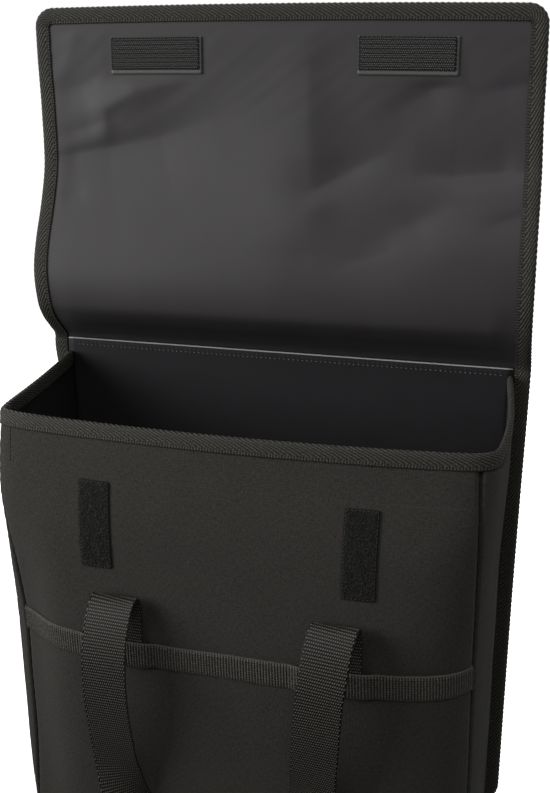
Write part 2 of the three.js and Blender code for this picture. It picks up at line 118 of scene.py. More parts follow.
# Places and sizes are in metres, powers in watts and spreads in degrees.
LIGHTS = [
    dict(name="key_light", place=(-1.25, -0.75, 0.8), aim_height=0.5, size=1.0, power=4.9, spread=70),
    dict(name="top_light", place=(0.25, -0.85, 1.6), aim_height=0.35, size=0.8, power=3.0, spread=120),
    dict(name="side_light", place=(1.1, 0.02, 1.25), aim_height=0.3, size=0.8, power=2.6, spread=160),
    dict(name="back_light", place=(-0.4, 1.5, 1.6), aim_height=0.3, size=1.0, power=15, spread=120),
]
for settings in LIGHTS:
    softbox(**settings)
print("lights", [settings["name"] for settings in LIGHTS])

# %% White room
ROOM_LIGHT = 0.13  # brightness of the room as the cloth sees it
WHITE = (1, 1, 1, 1)


def add_room():
    """A room that is white to the camera and dim to everything else."""
    room = bpy.data.worlds.new("white_room")
    room.use_nodes = True
    tree = room.node_tree
    dim = tree.nodes["Background"]
    dim.inputs["Color"].default_value = WHITE
    dim.inputs["Strength"].default_value = ROOM_LIGHT
    white = tree.nodes.new("ShaderNodeBackground")
    white.inputs["Color"].default_value = WHITE
    path = tree.nodes.new("ShaderNodeLightPath")
    choice = tree.nodes.new("ShaderNodeMixShader")
    tree.links.new(path.outputs["Is Camera Ray"], choice.inputs[0])
    tree.links.new(dim.outputs[0], choice.inputs[1])
    tree.links.new(white.outputs[0], choice.inputs[2])
    tree.links.new(choice.outputs[0], tree.nodes["World Output"].inputs["Surface"])
    scene.world = room


add_room()
print("room light", ROOM_LIGHT)

# %% [markdown]
# Finishes
#
# Each finish is one principled shader. A small class keeps the node calls short: it makes a node,
# links or sets its inputs, and hands back one output. Patterns that follow the cloth read a UV map
# named "cloth", which every soft piece carries in millimetres of real cloth.

# %% A short way to write a finish


class Finish:
    """A surface finish, with short calls for the nodes that feed its shader."""

    def __init__(self, name, roughness, specular, sheen=0.0):
        self.material = bpy.data.materials.new(name)
        self.material.use_nodes = True
        self.tree = self.material.node_tree
        self.shader = self.tree.nodes["Principled BSDF"]
        self.shader.inputs["Roughness"].default_value = roughness
        self.shader.inputs["Specular IOR Level"].default_value = specular
        self.shader.inputs["Sheen Weight"].default_value = sheen

    def node(self, kind, inputs, output=0, **settings):
        made = self.tree.nodes.new(f"ShaderNode{kind}")
        for name, value in settings.items():
            setattr(made, name, value)
        for key, value in inputs.items():
            if isinstance(value, bpy.types.NodeSocket):
                self.tree.links.new(value, made.inputs[key])
            else:
                made.inputs[key].default_value = value
        return made.outputs[output]

    def math(self, operation, *values):
        return self.node("Math", dict(enumerate(values)), operation=operation)

    def threads(self):
        """Millimetres along and across the piece's own cloth."""
        place = self.node("UVMap", {}, uv_map="cloth")
        return [self.node("SeparateXYZ", {0: place}, output=axis) for axis in (0, 1)]

    def vector(self, x, y, z=0.0):
        return self.node("CombineXYZ", {0: x, 1: y, 2: z})

    def scaled(self, value, factor):
        return self.math("MULTIPLY", value, factor)

    def ribs(self, distance, pitch):
        """A wave from 0 to 1 that repeats over a distance in millimetres."""
        turn = self.scaled(distance, 2 * math.pi / pitch)
        return self.math("MULTIPLY_ADD", self.math("COSINE", turn), 0.5, 0.5)

    def speckle(self, vector, scale, detail=2.0):
        return self.node("TexNoise", {"Vector": vector, "Scale": scale, "Detail": detail})

    def stretched(self, value, low, high):
        """The part of a value between two levels, spread from 0 to 1."""
        return self.node("MapRange", {"Value": value, "From Min": low, "From Max": high})

    def either(self, share, value, other):
        return self.node("Mix", {0: share, 2: value, 3: other})

    def colour(self, share, dark, light):
        tones = {0: share, 6: (*dark, 1), 7: (*light, 1)}
        mixed = self.node("Mix", tones, output=2, data_type="RGBA")
        self.tree.links.new(mixed, self.shader.inputs["Base Color"])

    def gloss(self, share, smooth, rough):
        level = self.node("MapRange", {"Value": share, "To Min": smooth, "To Max": rough})
        self.tree.links.new(level, self.shader.inputs["Roughness"])

    def relief(self, height, depth):
        """Bump of one height pattern, whose full depth is in millimetres."""
        bump = {"Height": height, "Distance": depth * MM}
        surface = self.shader.inputs["Normal"]
        if surface.is_linked:
            bump["Normal"] = surface.links[0].from_socket
        self.tree.links.new(self.node("Bump", bump), surface)


print("finishes read the UV map named cloth")

# %% [markdown]
# Woven cloth
#
# The outside is heavy black polyester in a plain weave. Its threads are thinner than a pixel of the
# photograph, so what shows is a fine grain, with thicker threads here and there in both directions.
# Two stretched noises give those slubs, and a small bump of crossing waves gives the weave.

# %% Woven cloth
THREAD_PAIR = 1.3  # millimetres over two threads
WEAVE_DEPTH = 0.12  # millimetres of bump
SLUB_DEPTH = 0.5
# Noise cells per millimetre: along and across a thick thread, in its knots, and in the uneven dye.
SLUB_RUN, SLUB_WIDTH = 0.3, 1.3
KNOT_GRAIN = 0.9
CLOUD_GRAIN = 0.03
# A noise seldom leaves these levels, so they are stretched to full contrast.
NOISE_LOW, NOISE_HIGH = 0.38, 0.62


def woven_finish(name, dark, light):
    finish = Finish(name, roughness=0.9, specular=0.22, sheen=0.06)
    along, up = finish.threads()
    weave = finish.math("MULTIPLY", finish.ribs(along, THREAD_PAIR), finish.ribs(up, THREAD_PAIR))
    weft_place = finish.vector(finish.scaled(along, SLUB_RUN), finish.scaled(up, SLUB_WIDTH))
    warp_place = finish.vector(finish.scaled(along, SLUB_WIDTH), finish.scaled(up, SLUB_RUN), 5.0)
    weft = finish.speckle(weft_place, 1.0)
    warp = finish.speckle(warp_place, 1.0)
    knots = finish.speckle(finish.vector(along, up, 9.0), KNOT_GRAIN, 1.0)
    slubs = finish.scaled(finish.math("ADD", finish.math("ADD", weft, warp), knots), 1 / 3)
    cloud = finish.speckle(finish.vector(along, up), CLOUD_GRAIN)
    contrast = finish.stretched(slubs, NOISE_LOW, NOISE_HIGH)
    tone = finish.math("MULTIPLY_ADD", contrast, 0.8, finish.scaled(cloud, 0.2))
    finish.colour(tone, dark, light)
    finish.relief(weave, WEAVE_DEPTH)
    finish.relief(slubs, SLUB_DEPTH)
    return finish.material


outer_weave = woven_finish("woven_cloth", (0.0145, 0.0132, 0.0115), (0.0475, 0.044, 0.0385))
print("made", outer_weave.name)

# %% [markdown]
# Coated side of the cloth
#
# Inside, the same cloth has a smooth coating with a satin gloss. It is a shade greyer than the weave
# and slightly violet. Cloudy gloss and a very fine grain keep the broad reflection from looking like
# enamel.

# %% Coating and liner
COATING_GRAIN = 1.6  # noise cells per millimetre
COATING_DEPTH = 0.05  # millimetres of bump


def coated_finish(name, dark, light, smooth, rough, specular=0.4):
    finish = Finish(name, roughness=smooth, specular=specular)
    along, up = finish.threads()
    place = finish.vector(along, up)
    cloud = finish.speckle(place, CLOUD_GRAIN, 3.0)
    grain = finish.speckle(place, COATING_GRAIN, 1.0)
    finish.colour(cloud, dark, light)
    finish.gloss(cloud, smooth, rough)
    finish.relief(grain, COATING_DEPTH)
    return finish.material


flap_coating = coated_finish("flap_coating", (0.0312, 0.0285, 0.0306), (0.0383, 0.035, 0.0377), 0.52, 0.6)
inner_coating = coated_finish(
    "inner_coating", (0.013, 0.0123, 0.0138), (0.018, 0.017, 0.0192), 0.6, 0.7, specular=0.2
)
cut_edge = coated_finish("cut_edge", (0.3, 0.3, 0.305), (0.42, 0.42, 0.42), 0.5, 0.6)
print("made", flap_coating.name, inner_coating.name, cut_edge.name)

# %% [markdown]
# Tapes, webbing and threads
#
# The binding is a twill tape: its ribs run at about thirty degrees to its length and are real ridges
# in the mesh. The band has cross ribs and the handle a coarse basket weave, also modelled. Their
# finishes paint shade into the gaps between the ribs and beads, and add the uneven tone of single yarns.

# %% Tapes and webbing
TAPE_WIDTH = 26.6  # flat width of the binding, from lip to lip
TWILL_PITCH = 4.2  # millimetres along the tape from one rib to the next
TWILL_RIBS = 11  # how many ribs one straight section across the tape meets
TWILL_SLOPE = TWILL_RIBS * TWILL_PITCH / TAPE_WIDTH  # run of a rib along the tape, per millimetre across
SELVEDGE = 2.9  # the outermost rows of the tape are bound straight across
SELVEDGE_PITCH = 2.1
RIB_PITCH = 2.1  # cross ribs of the front band
BEAD_PITCH = 1.9  # beads along each of those ribs
PLAIN_EDGE = 0.8  # the band's edges are plain over this width
TAPE_DEPTH, BAND_DEPTH = 0.3, 0.15  # millimetres of bump on the binding and on the band
YARN_GRAIN = 1.1  # noise cells per millimetre of the binding's yarns
LIP_PAINTED_SHADE = (0.2, 0.9)  # painted shade where the tape meets the cloth: dark at its lips and at full tone this far in
BAND_LOW, BAND_HIGH = (corner.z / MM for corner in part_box("front_band"))
BAND_WIDTH = BAND_HIGH - BAND_LOW


def tape_finish():
    finish = Finish("binding_tape", roughness=0.7, specular=0.3, sheen=0.05)
    along, across = finish.threads()
    depth = finish.math("ABSOLUTE", across)
    from_lip = finish.math("MINIMUM", depth, finish.math("SUBTRACT", TAPE_WIDTH, depth))
    slanted = finish.math("SUBTRACT", along, finish.scaled(across, TWILL_SLOPE))
    ribs = finish.ribs(slanted, TWILL_PITCH)
    bound = finish.scaled(finish.ribs(along, SELVEDGE_PITCH), 0.8)
    pattern = finish.either(finish.math("LESS_THAN", from_lip, SELVEDGE), ribs, bound)
    yarns = finish.speckle(finish.vector(along, across), YARN_GRAIN)
    patches = finish.stretched(yarns, NOISE_LOW, NOISE_HIGH)
    # Painted shade: the colour darkens in the grooves between the twill ribs, and towards the lips below.
    # The yarn patches are the tape's own uneven tone.
    yarn_tone_and_painted_rib_shade = finish.math("MULTIPLY", pattern, finish.math("MULTIPLY_ADD", patches, 1.3, 0.1))
    lip = finish.stretched(from_lip, *LIP_PAINTED_SHADE)
    finish.colour(finish.math("MULTIPLY", yarn_tone_and_painted_rib_shade, lip), (0.006, 0.0056, 0.0044), (0.078, 0.0735, 0.0585))
    finish.relief(pattern, TAPE_DEPTH)
    finish.relief(yarns, TAPE_DEPTH)
    return finish.material


def ribbed_finish():
    finish = Finish("ribbed_band", roughness=0.6, specular=0.35, sheen=0.05)
    along, across = finish.threads()
    ribs = finish.ribs(along, RIB_PITCH)
    beads = finish.ribs(across, BEAD_PITCH)
    yarns = finish.stretched(finish.speckle(finish.vector(along, across), 0.6), 0.35, 0.65)
    # Painted shade: the band darkens in the gaps between its ribs and between the beads along them. The yarn
    # noise is its own uneven tone.
    tone = finish.math("MULTIPLY", ribs, finish.math("MULTIPLY_ADD", beads, 0.5, 0.5))
    tone = finish.math("MULTIPLY", tone, finish.math("MULTIPLY_ADD", yarns, 0.8, 0.5))
    from_edge = finish.math("MINIMUM", across, finish.math("SUBTRACT", BAND_WIDTH, across))
    tone = finish.either(finish.math("LESS_THAN", from_edge, PLAIN_EDGE), tone, 0.45)
    finish.colour(tone, (0.005, 0.0048, 0.004), (0.11, 0.104, 0.087))
    finish.relief(beads, BAND_DEPTH)
    finish.relief(yarns, BAND_DEPTH)
    return finish.material


WEBBING_GRAIN = 0.5  # noise cells per millimetre
BEAD_GAP_PAINTED_SHADE = 2.2  # painted shade: more than 1 darkens the gaps between the beads of the weave


def webbing_finish():
    finish = Finish("webbing", roughness=0.55, specular=0.25)
    across, along = finish.threads()
    lift = finish.node("Attribute", {}, output=2, attribute_name="lift")
    yarns = finish.speckle(finish.vector(along, across), WEBBING_GRAIN)
    # Painted shade: the colour falls steeply with the weave's lift, darkest in the gaps between the beads
    # and on the edges.
    gap_painted_shade = finish.math("POWER", lift, BEAD_GAP_PAINTED_SHADE)
    tone = finish.math("MULTIPLY", gap_painted_shade, finish.math("MULTIPLY_ADD", yarns, 0.8, 0.6))
    finish.colour(tone, (0.002, 0.0018, 0.0015), (0.23, 0.212, 0.186))
    finish.relief(yarns, 0.12)
    return finish.material


def thread_finish(name, dark, light):
    finish = Finish(name, roughness=0.55, specular=0.4)
    place = finish.node("TexCoord", {}, output=3)
    twist = finish.speckle(place, 900.0, 1.0)
    finish.colour(twist, dark, light)
    finish.relief(twist, 0.05)
    return finish.material


twill_tape = tape_finish()
ribbed_band = ribbed_finish()
webbing = webbing_finish()
black_thread = thread_finish("black_thread", (0.003, 0.003, 0.003), (0.008, 0.008, 0.008))
dark_thread = thread_finish("dark_thread", (0.012, 0.012, 0.011), (0.03, 0.03, 0.028))
hem_thread = thread_finish("hem_thread", (0.025, 0.024, 0.022), (0.05, 0.048, 0.045))
grey_thread = thread_finish("grey_thread", (0.1, 0.1, 0.1), (0.17, 0.17, 0.17))
print("made", twill_tape.name, ribbed_band.name, webbing.name, "and four threads")

# %% [markdown]
# Hook-and-loop tape and steel
#
# The loop side is a matt fuzz of fine fibres, the hook side a field of tiny stiff hooks between two
# smooth edges. The rack hooks are coated steel with a fine orange-peel.

# %% Hook-and-loop tape and steel


def fuzz_finish(name, dark, light, roughness, scale):
    finish = Finish(name, roughness=roughness, specular=0.3)
    place = finish.node("TexCoord", {}, output=3)
    fuzz = finish.speckle(place, scale, 3.0)
    finish.colour(fuzz, dark, light)
    finish.relief(fuzz, 0.2)
    return finish.material


loop_pile = fuzz_finish("loop_pile", (0.0015, 0.0015, 0.0015), (0.01, 0.01, 0.009), 0.95, 1400)
pile_fibre = fuzz_finish("pile_fibre", (0.01, 0.01, 0.009), (0.06, 0.058, 0.053), 0.6, 1400)
hook_ground = fuzz_finish("hook_ground", (0.006, 0.006, 0.006), (0.014, 0.014, 0.013), 0.8, 900)
hook_plastic = fuzz_finish("hook_plastic", (0.1, 0.1, 0.096), (0.2, 0.2, 0.19), 0.5, 900)
hook_selvedge = fuzz_finish("hook_selvedge", (0.075, 0.074, 0.07), (0.11, 0.108, 0.103), 0.4, 700)
coated_steel = fuzz_finish("hook_steel", (0.012, 0.012, 0.012), (0.017, 0.017, 0.017), 0.35, 1200)
print("made", loop_pile.name, pile_fibre.name, hook_plastic.name, hook_selvedge.name, coated_steel.name)

# %% [markdown]
# Floor
#
# The floor is a plain pale sheet, wide enough to reach past every edge of the picture. It glows like
# a backlit table, dimmed by a painted shadow close to the bag, and sends no light back, which would
# flatten the shadows.

# %% Floor
FLOOR_REACH = 40.0  # metres from the bag
FLOOR_GLOW = 1.0
FLOOR_TONE = (0.9, 0.9, 0.9, 1)
FLOOR_DROP = 0.3 * MM  # keeps the floor clear of the base
PAINTED_SHADOW_REACH = 0.1  # metres over which the painted soft shadow at the foot of the bag fades


def add_floor():
    shape = bmesh.new()
    bmesh.ops.create_grid(shape, x_segments=1, y_segments=1, size=FLOOR_REACH)
    bmesh.ops.translate(shape, vec=(0, 0, -FLOOR_DROP), verts=shape.verts)
    mesh = bpy.data.meshes.new("floor")
    shape.to_mesh(mesh)
    shape.free()
    paint = Finish("floor_paint", roughness=0.9, specular=0.1)
    paint.shader.inputs["Base Color"].default_value = FLOOR_TONE
    # Painted shadow: ambient occlusion dims the floor's glow near the bag.
    painted_contact_shadow = paint.node("AmbientOcclusion", {"Distance": PAINTED_SHADOW_REACH})
    paint.tree.links.new(painted_contact_shadow, paint.shader.inputs["Emission Color"])
    paint.shader.inputs["Emission Strength"].default_value = FLOOR_GLOW
    mesh.materials.append(paint.material)
    floor = bpy.data.objects.new("floor", mesh)
    floor.visible_diffuse = False
    floor.visible_glossy = False
    scene.collection.objects.link(floor)


add_floor()
print("floor", 2 * FLOOR_REACH, "m wide")

# %% [markdown]
# Helpers for soft pieces
#
# A sheet of cloth starts as a flat grid of cells. Each corner of the grid knows its share across and
# up the sheet, which gives its place on the bag and its place in the weave. A Solidify modifier
# then gives the sheet its thickness, away from the side that the grid faces.

# %% Make pieces from grids


def add_piece(mesh, finishes):
    """Puts a mesh into the scene as a piece that moves with the bag."""
    for finish in finishes:
        mesh.materials.append(finish)
    mesh.shade_smooth()
    piece = bpy.data.objects.new(mesh.name, mesh)
    scene.collection.objects.link(piece)
    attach(piece, "root")
    return piece


def finish_piece(name, shape, finishes, stands_for=()):
    """Stores an edited mesh as a piece of the bag."""
    mesh = bpy.data.meshes.new(name)
    shape.normal_update()
    shape.to_mesh(mesh)
    shape.free()
    piece = add_piece(mesh, finishes)
    if stands_for:
        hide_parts(*stands_for)
    print(name, len(mesh.polygons), "faces")
    return piece


def woven_grid(columns, rows, place, width, length):
    """A grid bent into shape. place takes the shares across and up and gives millimetres."""
    shape = bmesh.new()
    bmesh.ops.create_grid(shape, x_segments=columns, y_segments=rows, size=0.5)
    cloth = shape.loops.layers.uv.new("cloth")
    for face in shape.faces:
        for loop in face.loops:
            share = loop.vert.co
            loop[cloth].uv = ((share.x + 0.5) * width, (share.y + 0.5) * length)
    for vert in shape.verts:
        vert.co = place(vert.co.x + 0.5, vert.co.y + 0.5) * MM
    return shape


def thicken(piece, thickness, inner_finish=0, rim_finish=0):
    """Gives a sheet its thickness, away from the side that its grid faces."""
    wall = piece.modifiers.new("thickness", "SOLIDIFY")
    wall.thickness = thickness * MM
    wall.offset = -1
    wall.material_offset = inner_finish
    wall.material_offset_rim = rim_finish
    return piece


def mix(start, end, share):
    return start + (end - start) * share


def ease(value, start, end):
    """A smooth rise from 0 to 1 between two values."""
    share = min(max((value - start) / (end - start), 0), 1)
    return share * share * (3 - 2 * share)


def curve(rows, key, name, at):
    """Value of one column of a table, on a smooth curve through its rows."""
    last = len(rows) - 1
    at = min(max(at, rows[0][key]), rows[last][key])
    i = 0
    while i < last - 1 and rows[i + 1][key] < at:
        i += 1

    def slope(place):
        before, after = rows[max(place - 1, 0)], rows[min(place + 1, last)]
        return (after[name] - before[name]) / (after[key] - before[key])

    span = rows[i + 1][key] - rows[i][key]
    t = (at - rows[i][key]) / span
    level = mix(rows[i][name], rows[i + 1][name], t * t * (3 - 2 * t))
    return level + span * t * (1 - t) * (slope(i) * (1 - t) - slope(i + 1) * t)


def normal_of(surface, across, up, step=0.5):
    """Unit normal of a surface, from short steps along its two directions."""
    sideways = surface(across + step, up) - surface(across - step, up)
    upward = surface(across, up + step) - surface(across, up - step)
    return sideways.cross(upward).normalized()


def ripple(x, y, seed):
    """A smooth random height between about -1 and 1."""
    return noise.noise(Vector((x, y, seed)))


print("helpers for grids are ready")

# %% [markdown]
# The shape of the body
#
# Seen from above, the bag is a rounded rectangle, open at the back. Its plan changes with height: it
# bulges at half height, leans back to the mouth, and its left front corner is pushed in. The table
# gives the plan at a few heights, with the place of both corner seams, and a superellipse turns each
# row into an outline. A place on the wall is then a distance along the cloth from the middle of the
# front, and a height.

# %% Plan of the body
LINER_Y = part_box("back_liner")[0].y / MM  # front face of the liner, where the sides end
SIDE_BACK = 178.5  # half width of the body at the liner
OUTLINE_STEPS = 1200
BODY_COLUMNS = ("height", "left", "right", "depth", "bow", "squareness", "cut",
                "seam_left", "seam_right", "tuck_left", "tuck_right")
BODY_ROWS = [
    (0, 182, 178, 134, 3, 8, 8, 180, 188, -3, 0),
    (60, 185, 179, 143, 3, 6.8, 11, 174.5, 187.5, -5, -1),
    (130, 187, 180, 147, 3, 6.2, 12, 174, 186, -5, -2),
    (198, 188, 180, 147, 4, 6.2, 12, 176, 183.5, -6, -2),
    (240, 188.5, 180.5, 144.5, 4.5, 7.5, 8, 176, 181, -2, -2),
    (283, 189, 181, 141, 5, 9, 2, 182, 178.5, 0, -3),
    (330, 187.5, 181, 125, 11, 16, 0, 190, 172.5, 1, -5),
    (356, 185.5, 180, 117, 13, 20, 0, 192, 172, 2, -5),
    (372, 184.5, 180, 113, 13, 20, 0, 192, 172, 2, -4),
]
BODY = [dict(zip(BODY_COLUMNS, row)) for row in BODY_ROWS]
CUT_PLACE, CUT_REACH = -0.86, 0.12  # where the left corner is pushed in, as shares of the half width


@lru_cache(maxsize=None)
def outline(height):
    """Distances along the cloth from the middle of the front, with x and y, at one height."""
    plan = {name: curve(BODY, "height", name, height) for name in BODY[0]}
    share = np.linspace(0, 1, OUTLINE_STEPS + 1)
    cosine, sine = np.cos(np.pi * (1 - share)), np.sin(np.pi * (1 - share))
    corner = np.where(share < 0.5, plan["left"], plan["right"])
    power, depth = plan["squareness"], plan["depth"]
    reach = (np.abs(cosine / corner) ** power + np.abs(sine / depth) ** power) ** (-1 / power)
    across = reach * cosine / corner
    forward = np.clip(reach * sine / depth, 0, 1)
    tuck = np.where(share < 0.5, plan["tuck_left"], plan["tuck_right"])
    drawn = tuck * np.sin(np.pi * forward) * across**8
    x = across * mix(SIDE_BACK, corner, forward) - np.sign(across) * drawn
    pushed = plan["cut"] * np.exp(-(((across - CUT_PLACE) / CUT_REACH) ** 2))
    y = LINER_Y - forward * (depth + plan["bow"] * (1 - across**2) - pushed)
    along = np.concatenate([[0], np.cumsum(np.hypot(np.diff(x), np.diff(y)))])
    return along - along[OUTLINE_STEPS // 2], x, y


@lru_cache(maxsize=None)
def seam_at(side, height):
    """Distance along the cloth from the middle of the front to the left (-1) or right (1) seam."""
    return curve(BODY, "height", "seam_left" if side < 0 else "seam_right", height)


def between_seams(share, height, margin):
    """A place between the two seams, less a margin at each."""
    return mix(margin - seam_at(-1, height), seam_at(1, height) - margin, share)


def side_end(side, height):
    """Distance along the cloth from the middle of the front to the liner."""
    along = outline(height)[0]
    return along[-1] if side > 0 else -along[0]


def wall(along, height):
    cloth, x, y = outline(height)
    return Vector((np.interp(along, cloth, x), np.interp(along, cloth, y), height))


def off_wall(along, height, distance):
    return wall(along, height) + normal_of(wall, along, height) * distance


print("front at half height:", round(between_seams(1, 180, 0) - between_seams(0, 180, 0)), "mm of cloth")

# %% [markdown]
# Small swells of the body's cloth
#
# Sewn cloth is never quite even. It swells a little between its seams, puckers beside them, and rolls
# inwards where two panels meet, which leaves a dark groove. One function gives this relief for the
# whole body, so that bands and patches sewn to the cloth follow it.

# %% Relief of the body's cloth
SEAM_ROLL = 3.0  # how far the edges of two panels turn in at their seam
SEAM_REACH = 2.2
PUCKER_PITCH = 9.0
PUCKER_HEIGHT = 0.28
PUCKER_REACH = 8  # from the seam
BAND_PRESS = 0.7  # the sewn edges of the band press in the cloth beside them
PRESS_REACH = 1.3
SWELL, DIMPLE = 0.8, 0.22  # heights of the broad and the small swells


def relief(along, height):
    from_seam = abs(abs(along) - seam_at(math.copysign(1, along), height))
    swell = SWELL * ripple(along / 70, height / 80, seed=3.1)
    swell += DIMPLE * ripple(along / 17, height / 26, seed=7.7)
    wander = 3 * ripple(0, height / 30, seed=1)
    pucker = PUCKER_HEIGHT * math.sin(2 * math.pi * height / PUCKER_PITCH + wander)
    rolled = SEAM_ROLL * (1 - ease(from_seam, 0, SEAM_REACH))
    from_band = min(abs(height - BAND_LOW), abs(height - BAND_HIGH))
    pressed = BAND_PRESS * math.exp(-((from_band / PRESS_REACH) ** 2))
    return swell + pucker * math.exp(-from_seam / PUCKER_REACH) - rolled - pressed


def on_body(along, height, distance=0.0):
    """A place on the outer face of the body's cloth, or a distance off it."""
    return off_wall(along, height, distance + relief(along, height))


print("groove at the seams:", SEAM_ROLL, "mm deep")

# %% [markdown]
# Front and sides
#
# The front is one panel from corner seam to corner seam. Each side runs from its seam round the
# corner to the liner, with its top edge rising to the back. All three could be one loft, but separate
# sheets give real seams, and each one's UV map carries the flat size of the cloth that it was cut from.

# %% Front and sides
CLOTH = 1.6  # thickness
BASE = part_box("bottom_panel")[1].z / MM
WALL_FOOT = BASE + 0.3
FRONT_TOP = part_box("front_panel")[1].z / MM
BACK_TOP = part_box("side_left")[1].z / MM
CORNER_SHARE = {-1: 0, 1: 0.14}  # the part of each side in its corner, where the top is still level
BACK_RISE_RIGHT = 6.0  # the right side is drawn up this much further to the hinge
RISE_START = 0.55  # share of the way to the liner where that begins
SEAM_GAP = 0.15  # from the middle of the seam to the edge of each panel
SIDE_TURN_IN = 0.6  # the ends of the sides are sewn in this far behind the front of the liner
TURN_START = 0.97  # share of the way to the liner where they turn in
SIDE_RIDGE = 1.2  # soft upright ridge where the stiff side was once folded
RIDGE_PLACE, RIDGE_REACH = 0.36, 0.09  # shares of the way from the seam to the liner
RIDGE_FOOT, RIDGE_HEAD = 60, 200  # heights between which the ridge grows
SLOPE_START = 0.75  # above this share of its height, a side stretches up to the sloping mouth
MEASURE_HEIGHT = 200  # where the flat widths of the panels are measured
FRONT_SPARE = 7  # extra length that the bulge of the front takes up


def add_front():
    def place(across, up):
        height = mix(WALL_FOOT, FRONT_TOP, up)
        return on_body(between_seams(across, height, SEAM_GAP), height)

    width = seam_at(-1, MEASURE_HEIGHT) + seam_at(1, MEASURE_HEIGHT)
    length = FRONT_TOP - WALL_FOOT + FRONT_SPARE
    shape = woven_grid(140, 132, place, width, length)
    piece = finish_piece("front_cloth", shape, [outer_weave, inner_coating], ["front_panel"])
    thicken(piece, CLOTH, inner_finish=1)


def mouth_height(side, share):
    """Top of a side's cloth at a share of the way from the seam to the liner."""
    drawn_up = BACK_RISE_RIGHT * ease(share, RISE_START, 1) if side > 0 else 0
    corner = CORNER_SHARE[side]
    return mix(FRONT_TOP, BACK_TOP, max(share - corner, 0) / (1 - corner)) + drawn_up


def side_along(side, share, height):
    start = seam_at(side, height) + SEAM_GAP
    return side * mix(start, side_end(side, height), share)


def add_side(side, label):
    def place(across, up):
        share = across if side > 0 else 1 - across
        level = mix(WALL_FOOT, FRONT_TOP, up)
        height = level + (mouth_height(side, share) - FRONT_TOP) * ease(up, SLOPE_START, 1)
        ridge = SIDE_RIDGE * math.exp(-(((share - RIDGE_PLACE) / RIDGE_REACH) ** 2))
        ridge *= ease(height, RIDGE_FOOT, RIDGE_HEAD)
        turned_in = Vector((0, SIDE_TURN_IN * ease(share, TURN_START, 1), 0))
        return on_body(side_along(side, share, height), height, ridge) + turned_in

    width = side_end(side, MEASURE_HEIGHT) - seam_at(side, MEASURE_HEIGHT)
    length = BACK_TOP - WALL_FOOT
    shape = woven_grid(64, 120, place, width, length)
    piece = finish_piece(
        f"side_cloth_{label}", shape, [outer_weave, inner_coating], [f"side_{label}"]
    )
    thicken(piece, CLOTH, inner_finish=1)


SIDES = {"left": -1, "right": 1}
add_front()
for label, side in SIDES.items():
    add_side(side, label)

# %% [markdown]
# Base
#
# The base is a stiff sheet with the plan of the body's foot. A flat grid is narrowed row by row to
# the width that the outline has at each depth.

# %% Base
BASE_GAP = 0.3  # from the base to the liner


def add_base():
    _, outline_x, outline_y = outline(0)
    middle = OUTLINE_STEPS // 2
    front_y, back_y = outline_y.min(), LINER_Y - BASE_GAP

    def place(across, up):
        y = mix(front_y + 0.01, back_y, up)
        left = np.interp(y, outline_y[middle::-1], outline_x[middle::-1])
        right = np.interp(y, outline_y[middle:], outline_x[middle:])
        return Vector((mix(left, right, across), y, BASE))

    width, length = outline_x.max() - outline_x.min(), back_y - front_y
    shape = woven_grid(72, 40, place, width, length)
    piece = finish_piece(
        "bottom_cloth", shape, [inner_coating, outer_weave], ["bottom_panel"]
    )
    thicken(piece, BASE, inner_finish=1, rim_finish=1)


add_base()

# %% [markdown]
# The flap and its creases
#
# The flap hangs together with the back and stands up from the hinge. Folded so often, it bellies out
# above the hinge and carries dents and creases. The lean of both side edges is a table, and each fold
# is a ridge or a dent along a bent line. Wide flanks give the soft light and dark areas, and narrow
# ones the sharp edges between them.

# %% Shape of the flap
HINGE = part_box("back_liner")[1].z / MM
SPINE = 2.0  # thickness of the back panel and the flap
SPINE_Y = (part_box("back_panel")[0].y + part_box("back_panel")[1].y) / 2 / MM
SPINE_HALF_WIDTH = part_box("back_panel")[1].x / MM
SPINE_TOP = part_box("flap")[1].z / MM - HINGE
SPINE_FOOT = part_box("back_panel")[0].z / MM - HINGE
TOP_RADIUS = 12.2
FOOT_RADIUS = 18.2
BINDING_COVER = 12  # width of the tape on each face
HOOK_X = 94  # middle of each hook patch
HOOK_RISE = 220.5
HOOK_WIDTH, HOOK_HEIGHT = 71, 26
FLAP_LEAN = [
    dict(rise=0, left=0, right=0),
    dict(rise=5, left=3.5, right=2.5),
    dict(rise=12, left=13, right=8.5),
    dict(rise=23, left=26, right=17),
    dict(rise=35, left=34, right=23),
    dict(rise=57, left=35.5, right=28),
    dict(rise=84, left=27, right=27),
    dict(rise=114, left=16, right=20),
    dict(rise=152, left=8, right=10),
    dict(rise=204, left=5, right=5),
    dict(rise=256, left=5, right=4),
]
# How far the side edges stray outwards from a straight line.
FLAP_STRAY = [
    dict(rise=-378, left=0.4, right=0.5),
    dict(rise=-200, left=0.5, right=1.3),
    dict(rise=-100, left=0.8, right=2.4),
    dict(rise=-40, left=1.5, right=3.4),
    dict(rise=-6, left=5.2, right=3.8),
    dict(rise=18, left=1.6, right=3.8),
    dict(rise=38, left=0.6, right=3.8),
    dict(rise=75, left=2.8, right=3.7),
    dict(rise=105, left=2.0, right=3.2),
    dict(rise=138, left=0.8, right=2.6),
    dict(rise=180, left=2.2, right=1.0),
    dict(rise=215, left=3.4, right=0.6),
    dict(rise=256, left=3.4, right=0),
]
TOP_CROWN = 1.8  # the top edge is this much higher in its middle
CROWN_START = 120  # rise where the crown begins
